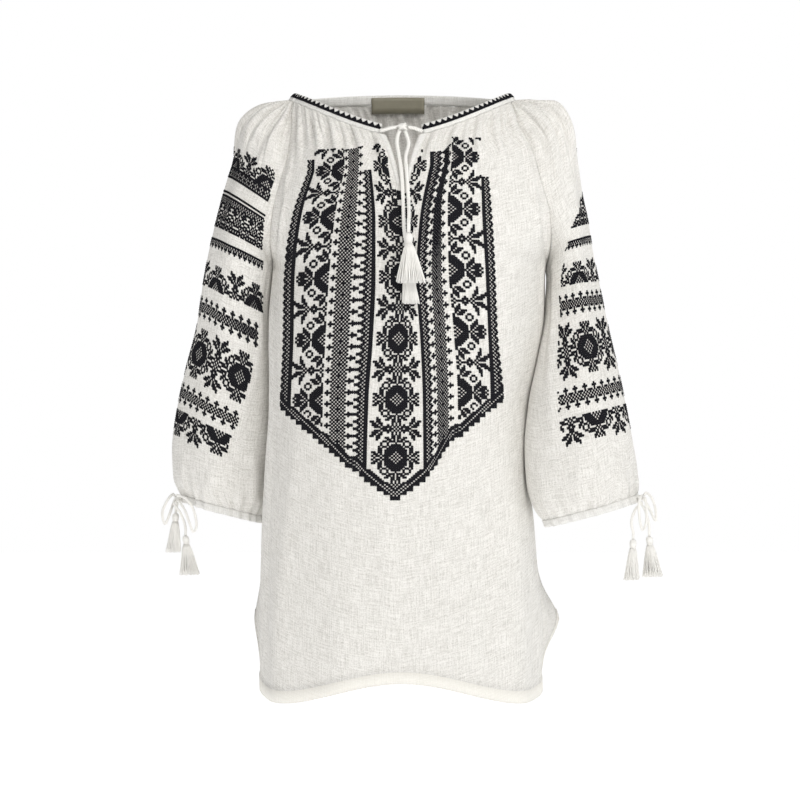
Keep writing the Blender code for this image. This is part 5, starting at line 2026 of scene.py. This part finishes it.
@dataclass
class WristTie:
    """Bow at a cuff: two loops and two tasselled ends."""

    side: Side
    diameter: float = 3.4
    radii: tuple[float, float, float] = (4.6, 4.0, 4.2)
    turn: float = -0.125
    outward: float = 7.0
    down: float = 4.5

    def build(self) -> list[bpy.types.Object]:
        """Build the knot, loops, ends and tassels.

        Returns:
            Every piece of the bow.
        """
        arm, word = ARMS[self.side], self.side.name.lower()
        turn = np.array(self.turn)
        middle = arm.point(turn, np.array(13.0)) + cuff_outward(arm, turn) * self.outward + arm.down(13.0) * self.down
        stem = "wrist_%s_" % word
        knot = Knot(stem + "knot", middle, self.radii, self.diameter)
        made = [knot.build()]
        left = self.side is Side.LEFT
        loops = (LEFT_LOOP_ONE, LEFT_LOOP_TWO) if left else (RIGHT_LOOP_ONE, RIGHT_LOOP_TWO)
        ends = (LEFT_END_ONE, LEFT_END_TWO) if left else (RIGHT_END_ONE, RIGHT_END_TWO)
        for number, route in zip(("one", "two"), loops):
            cord = Cord(stem + "loop_" + number, knot, route, self.diameter)
            thing, path, _ = cord.build()
            cord.declare(thing, path)
            made.append(thing)
        sizes = ((4.0, 10.0, 36.0, 6.0, 0.75), (4.0, 10.0, 37.0, 9.0, 0.75))
        leans = ((0.05, 0.12), (-0.10, -0.12))
        for number, route, size, lean in zip(("one", "two"), ends, sizes, leans):
            cord = Cord(stem + "end_" + number, knot, route, self.diameter, True)
            thing, path, last = cord.build()
            top = last - np.array((0.0, 0.0, TIE_GAP))
            tassel = Tassel(stem + "tassel_" + number, top, size, lean, 96).build()
            cord.declare(thing, path)
            made += [thing, tassel]
        return made


@dataclass
class Studio:
    """Pale floor, soft light and the camera."""

    camera_place: tuple[float, float, float] = (-0.0046, -2.6, -0.348)
    lens: float = 100.9
    floor_z: float = -0.80
    sky: float = 0.24

    def build(self) -> None:
        """Set up the floor, lights and camera."""
        scene = bpy.context.scene
        camera = bpy.data.objects.new("camera", bpy.data.cameras.new("camera"))
        camera.data.lens = self.lens
        camera.data.sensor_width = 36.0
        camera.location = self.camera_place
        camera.rotation_euler = (math.radians(90.0), 0.0, 0.0)
        scene.collection.objects.link(camera)
        scene.camera = camera
        scene.view_settings.view_transform = "Standard"
        world = bpy.data.worlds.new("studio")
        world.use_nodes = True
        tree = world.node_tree
        split = tree.nodes.new("ShaderNodeSeparateXYZ")
        tree.links.new(tree.nodes.new("ShaderNodeTexCoord").outputs["Generated"], split.inputs[0])
        height = math_node(tree, "ABSOLUTE", split.outputs[2])
        parts = []
        for source, stops in ((height, ((0.20, 1.0), (0.40, 0.0))), (split.outputs[1], ((0.1, 0.72), (0.6, 1.0)))):
            ramp = tree.nodes.new("ShaderNodeValToRGB")
            for stop, (place, tone) in zip(ramp.color_ramp.elements, stops):
                stop.position, stop.color = place, (tone, tone, tone, 1.0)
            tree.links.new(source, ramp.inputs[0])
            parts.append(ramp.outputs[0])
        bright = math_node(tree, "MULTIPLY", math_node(tree, "MULTIPLY", parts[0], parts[1]), 1.0 - self.sky)
        tree.links.new(math_node(tree, "ADD", bright, self.sky), tree.nodes["Background"].inputs["Color"])
        tree.nodes["Background"].inputs["Strength"].default_value = 1.0
        scene.world = world
        for name, place, size, power, tint in (
            ("key", (1.9, -1.8, 1.7), 0.8, 15.0, (1.0, 1.0, 0.99)),
            ("fill", (-1.6, -2.4, 0.3), 1.3, 3.0, (1.0, 0.88, 0.74)),
            ("front", (0.45, -1.8, 0.75), 0.6, 10.0, (1.0, 0.98, 0.95)),
            ("top", (0.6, -0.7, 1.2), 0.5, 5.0, (1.0, 0.98, 0.95)),
        ):
            lamp = bpy.data.lights.new(name, "AREA")
            lamp.size, lamp.energy, lamp.color = size, power, tint
            light = bpy.data.objects.new(name, lamp)
            light.location = place
            light.rotation_euler = (Vector((0.0, 0.0, -0.05)) - Vector(place)).to_track_quat("-Z", "Y").to_euler()
            scene.collection.objects.link(light)
        reach = 4.0
        mesh = bpy.data.meshes.new("floor")
        corners = [(-reach, -2.0, 0.0), (reach, -2.0, 0.0), (reach, reach, 0.0), (-reach, reach, 0.0)]
        mesh.from_pydata(corners, [], [(0, 1, 2, 3)])
        mesh.materials.append(FloorFinish().material("floor_paper"))
        floor = bpy.data.objects.new("floor", mesh)
        floor.location = (0.0, 0.0, self.floor_z)
        scene.collection.objects.link(floor)


def main() -> None:
    """Build the blouse in order and report each piece."""
    logging.basicConfig(level=logging.INFO, format="%(message)s")
    Studio().build()
    made: list[bpy.types.Object] = NeckTie().build()
    for side in Side:
        made += WristTie(side).build()
    front = BodyPanel("front", Face.FRONT, FRONT_FOLDS, FRONT_CREASES, (0.46, 0.66), 0.27).build()
    back = BodyPanel("back", Face.BACK, BACK_FOLDS, BACK_CREASES, (0.46, 0.70), 0.28).build()
    made += [front, back]
    for side in Side:
        made.append(Sleeve(side).build())
        made.append(SleeveEmbroidery(side).build())
        made.append(Cuff(side).build())
        made.append(SlitBinding(side).build())
    made += NeckBand().build()
    made.append(NeckLabel().build())
    made.append(ChestEmbroidery(front).build())
    for thing in made:
        area = sum(face.area for face in thing.data.polygons)
        LOG.info("%s: %d faces, %.4f square metres", thing.name, len(thing.data.polygons), area)


if __name__ == "__main__":
    main()
